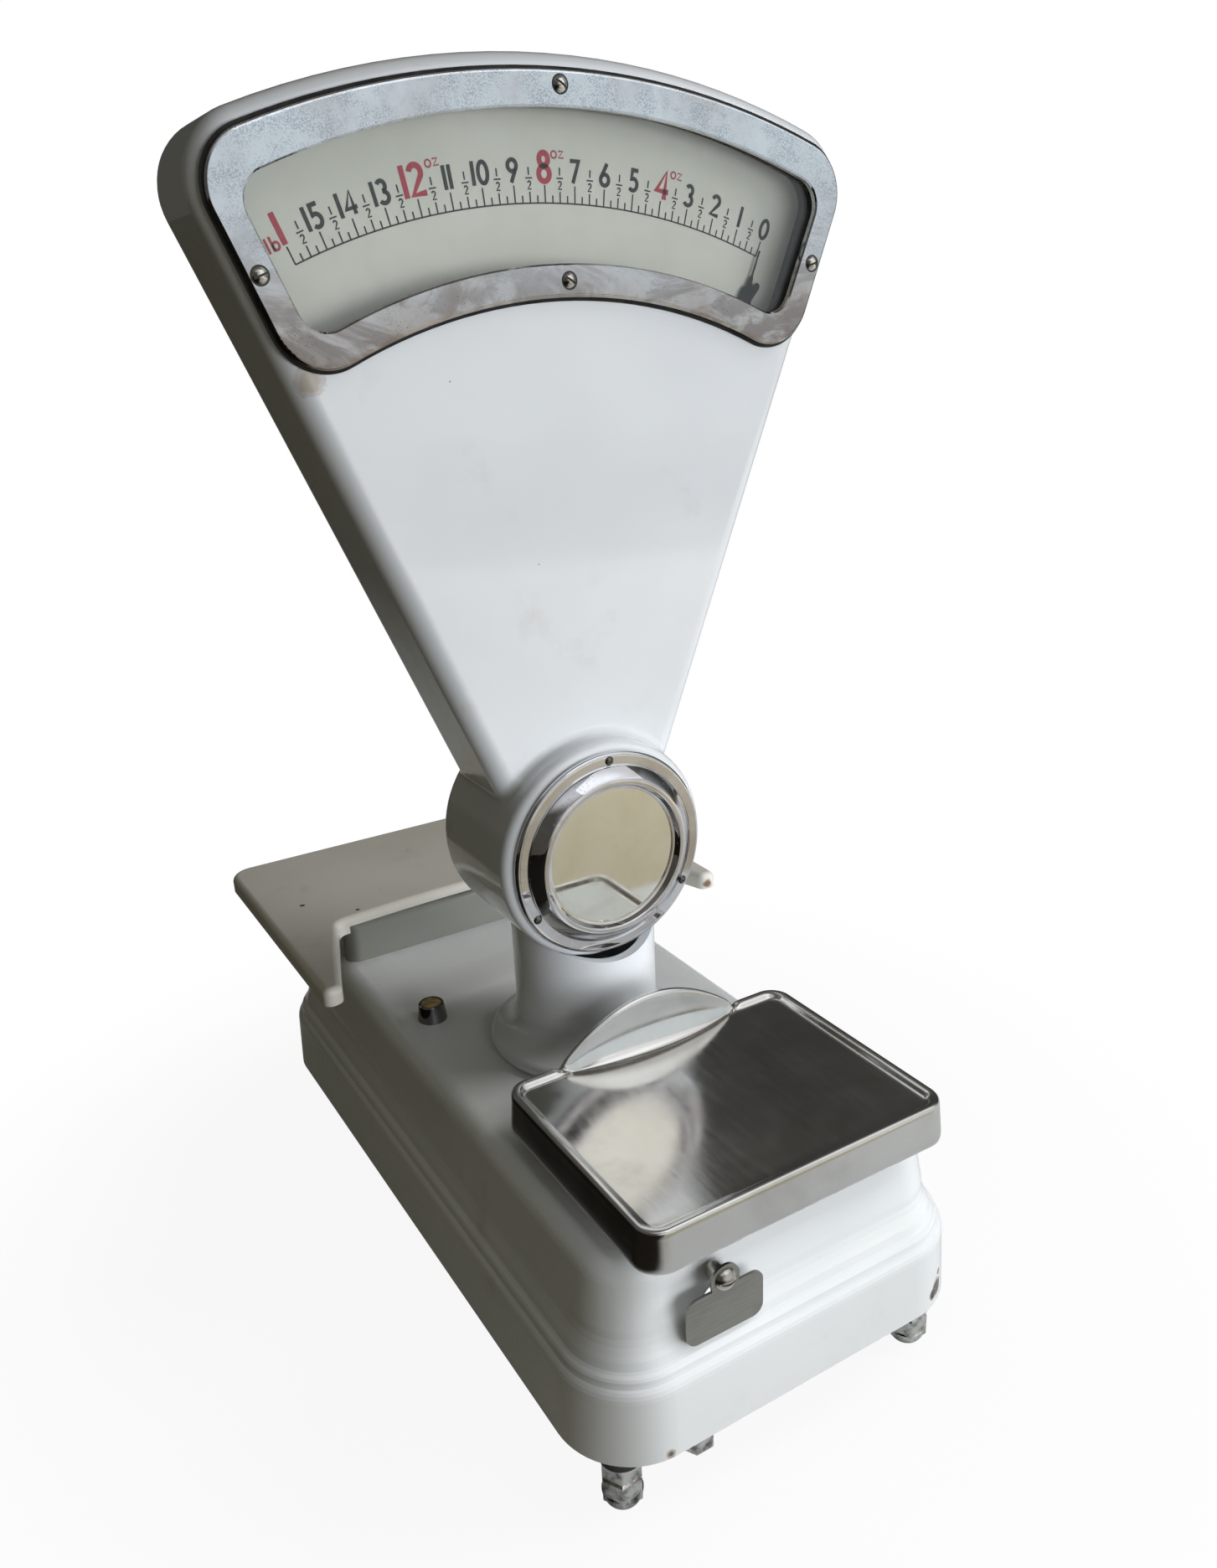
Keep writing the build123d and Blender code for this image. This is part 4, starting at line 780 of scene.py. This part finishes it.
def stage_floor():
    """Pale floor: the camera sees white far off, and metal sees a table with a dark left side."""
    data = bpy.data.meshes.new("floor")
    form = bmesh.new()
    bmesh.ops.create_circle(form, cap_ends=True, radius=FLOOR_RADIUS, segments=96)
    form.to_mesh(data)
    form.free()
    floor = bpy.data.objects.new("floor", data)
    bpy.context.scene.collection.objects.link(floor)
    s = Shader("floor_paint")
    rays = s.node("ShaderNodeLightPath")
    table = s.span(s.axis("Y"), -0.545, -0.535)
    mirrored = s.blend(table, (0.62, 0.57, 0.46, 1.0), (0.80, 0.83, 0.87, 1.0))
    mirrored = s.blend(s.span(s.axis("X"), -0.10, -0.26), mirrored, (0.022, 0.019, 0.015, 1.0))
    bounce = s.blend(rays.outputs["Is Glossy Ray"], (0.28, 0.25, 0.18, 1.0), mirrored)
    s.set(color=s.blend(rays.outputs["Is Camera Ray"], bounce, (0.95, 0.95, 0.95, 1.0)),
          rough=0.9, spec=0.1)
    white = s.node("ShaderNodeEmission")
    white.inputs["Color"].default_value = (1.0, 1.0, 1.0, 1.0)
    white.inputs["Strength"].default_value = 1.0
    seen = s.sum("MAXIMUM", rays.outputs["Is Camera Ray"], rays.outputs["Is Transmission Ray"])
    length = s.node("ShaderNodeVectorMath", operation="LENGTH")
    s.link(s.place, length.inputs[0])
    far = s.span(length.outputs["Value"], 0.25, 0.55, 0.92, 1.0)
    mix = s.node("ShaderNodeMixShader")
    s.link(s.sum("MULTIPLY", far, seen), mix.inputs["Fac"])
    s.link(s.body.outputs["BSDF"], mix.inputs[1])
    s.link(white.outputs["Emission"], mix.inputs[2])
    s.link(mix.outputs["Shader"], s.tree.nodes["Material Output"].inputs["Surface"])
    data.materials.append(s.material)


def area_light(name, place, target, size, power, color):
    data = bpy.data.lights.new(name, "AREA")
    data.shape = "RECTANGLE"
    data.size, data.size_y = size
    data.energy = power
    data.color = color
    light = bpy.data.objects.new(name, data)
    bpy.context.scene.collection.objects.link(light)
    aim = Vector(target) - Vector(place)
    light.matrix_world = Matrix.Translation(place) @ aim.to_track_quat("-Z", "Y").to_matrix().to_4x4()
    return light


def world_light():
    """Dim warm room; shiny surfaces see a pale front and ceiling, and the camera sees white."""
    world = bpy.data.worlds.new("studio")
    bpy.context.scene.world = world
    world.use_nodes = True
    tree = world.node_tree

    def plain(color, strength):
        made = tree.nodes.new("ShaderNodeBackground")
        made.inputs["Color"].default_value = color
        made.inputs["Strength"].default_value = strength
        return made.outputs["Background"]

    def pick(share, low, high):
        made = tree.nodes.new("ShaderNodeMixShader")
        tree.links.new(share, made.inputs["Fac"])
        tree.links.new(low, made.inputs[1])
        tree.links.new(high, made.inputs[2])
        return made.outputs["Shader"]

    place = tree.nodes.new("ShaderNodeTexCoord").outputs["Generated"]
    parts = tree.nodes.new("ShaderNodeSeparateXYZ")
    tree.links.new(place, parts.inputs[0])

    def reach(letter, low, high):
        made = tree.nodes.new("ShaderNodeMapRange")
        made.interpolation_type = "SMOOTHSTEP"
        tree.links.new(parts.outputs[letter], made.inputs["Value"])
        made.inputs["From Min"].default_value = low
        made.inputs["From Max"].default_value = high
        return made.outputs["Result"]

    rays = tree.nodes.new("ShaderNodeLightPath")
    room = plain((0.95, 0.90, 0.72, 1.0), 0.115)
    dark = plain((0.80, 0.80, 0.76, 1.0), 0.065)
    window = pick(reach("Z", 0.47, 0.54), plain((0.90, 0.96, 1.0, 1.0), 0.8),
                  plain((0.86, 0.74, 0.70, 1.0), 0.40))
    seen = pick(reach("Y", 0.1, -0.7), dark, window)
    seen = pick(reach("X", -0.1, -0.6), seen, plain((0.80, 0.76, 0.66, 1.0), 0.10))
    ceiling = pick(reach("Y", -0.25, -0.55), plain((0.86, 0.78, 0.72, 1.0), 0.18),
                   plain((0.94, 0.97, 1.0, 1.0), 0.72))
    seen = pick(reach("Z", 0.56, 0.76), seen, ceiling)
    lit = pick(rays.outputs["Is Glossy Ray"], room, seen)
    shown = pick(rays.outputs["Is Camera Ray"], lit, plain((1.0, 1.0, 1.0, 1.0), 1.0))
    tree.links.new(shown, tree.nodes["World Output"].inputs["Surface"])


stage_floor()
world_light()
key = area_light("key", (0.95, -2.30, 0.30), (0, 0, 0.22), (1.8, 0.9), 41.0, (0.95, 0.975, 1.0))
side = area_light("side", (2.1, -1.4, 0.80), (0, -0.05, 0.22), (1.0, 0.8), 26.0, (0.96, 0.98, 1.0))
top = area_light("top", (1.50, -0.65, 1.85), (0, 0.1, 0.2), (0.8, 0.8), 18.0, (1.0, 0.98, 0.95))
pan_glow = area_light("pan_glow", (-0.02, -0.30, 0.27), (-0.02, -0.05, 0.21), (0.18, 0.06), 0.20,
                      (0.96, 0.98, 1.0))
for lamp in (key, side, top, pan_glow):
    lamp.visible_camera = False
    lamp.visible_glossy = False
    lamp.visible_transmission = False
sheen = area_light("sheen", (0.9, -1.2, 1.9), (0, 0, 0.4), (2.4, 1.6), 8.0, (0.95, 0.98, 1.0))
sheen.visible_diffuse = False

bpy.context.scene.view_settings.view_transform = "Standard"
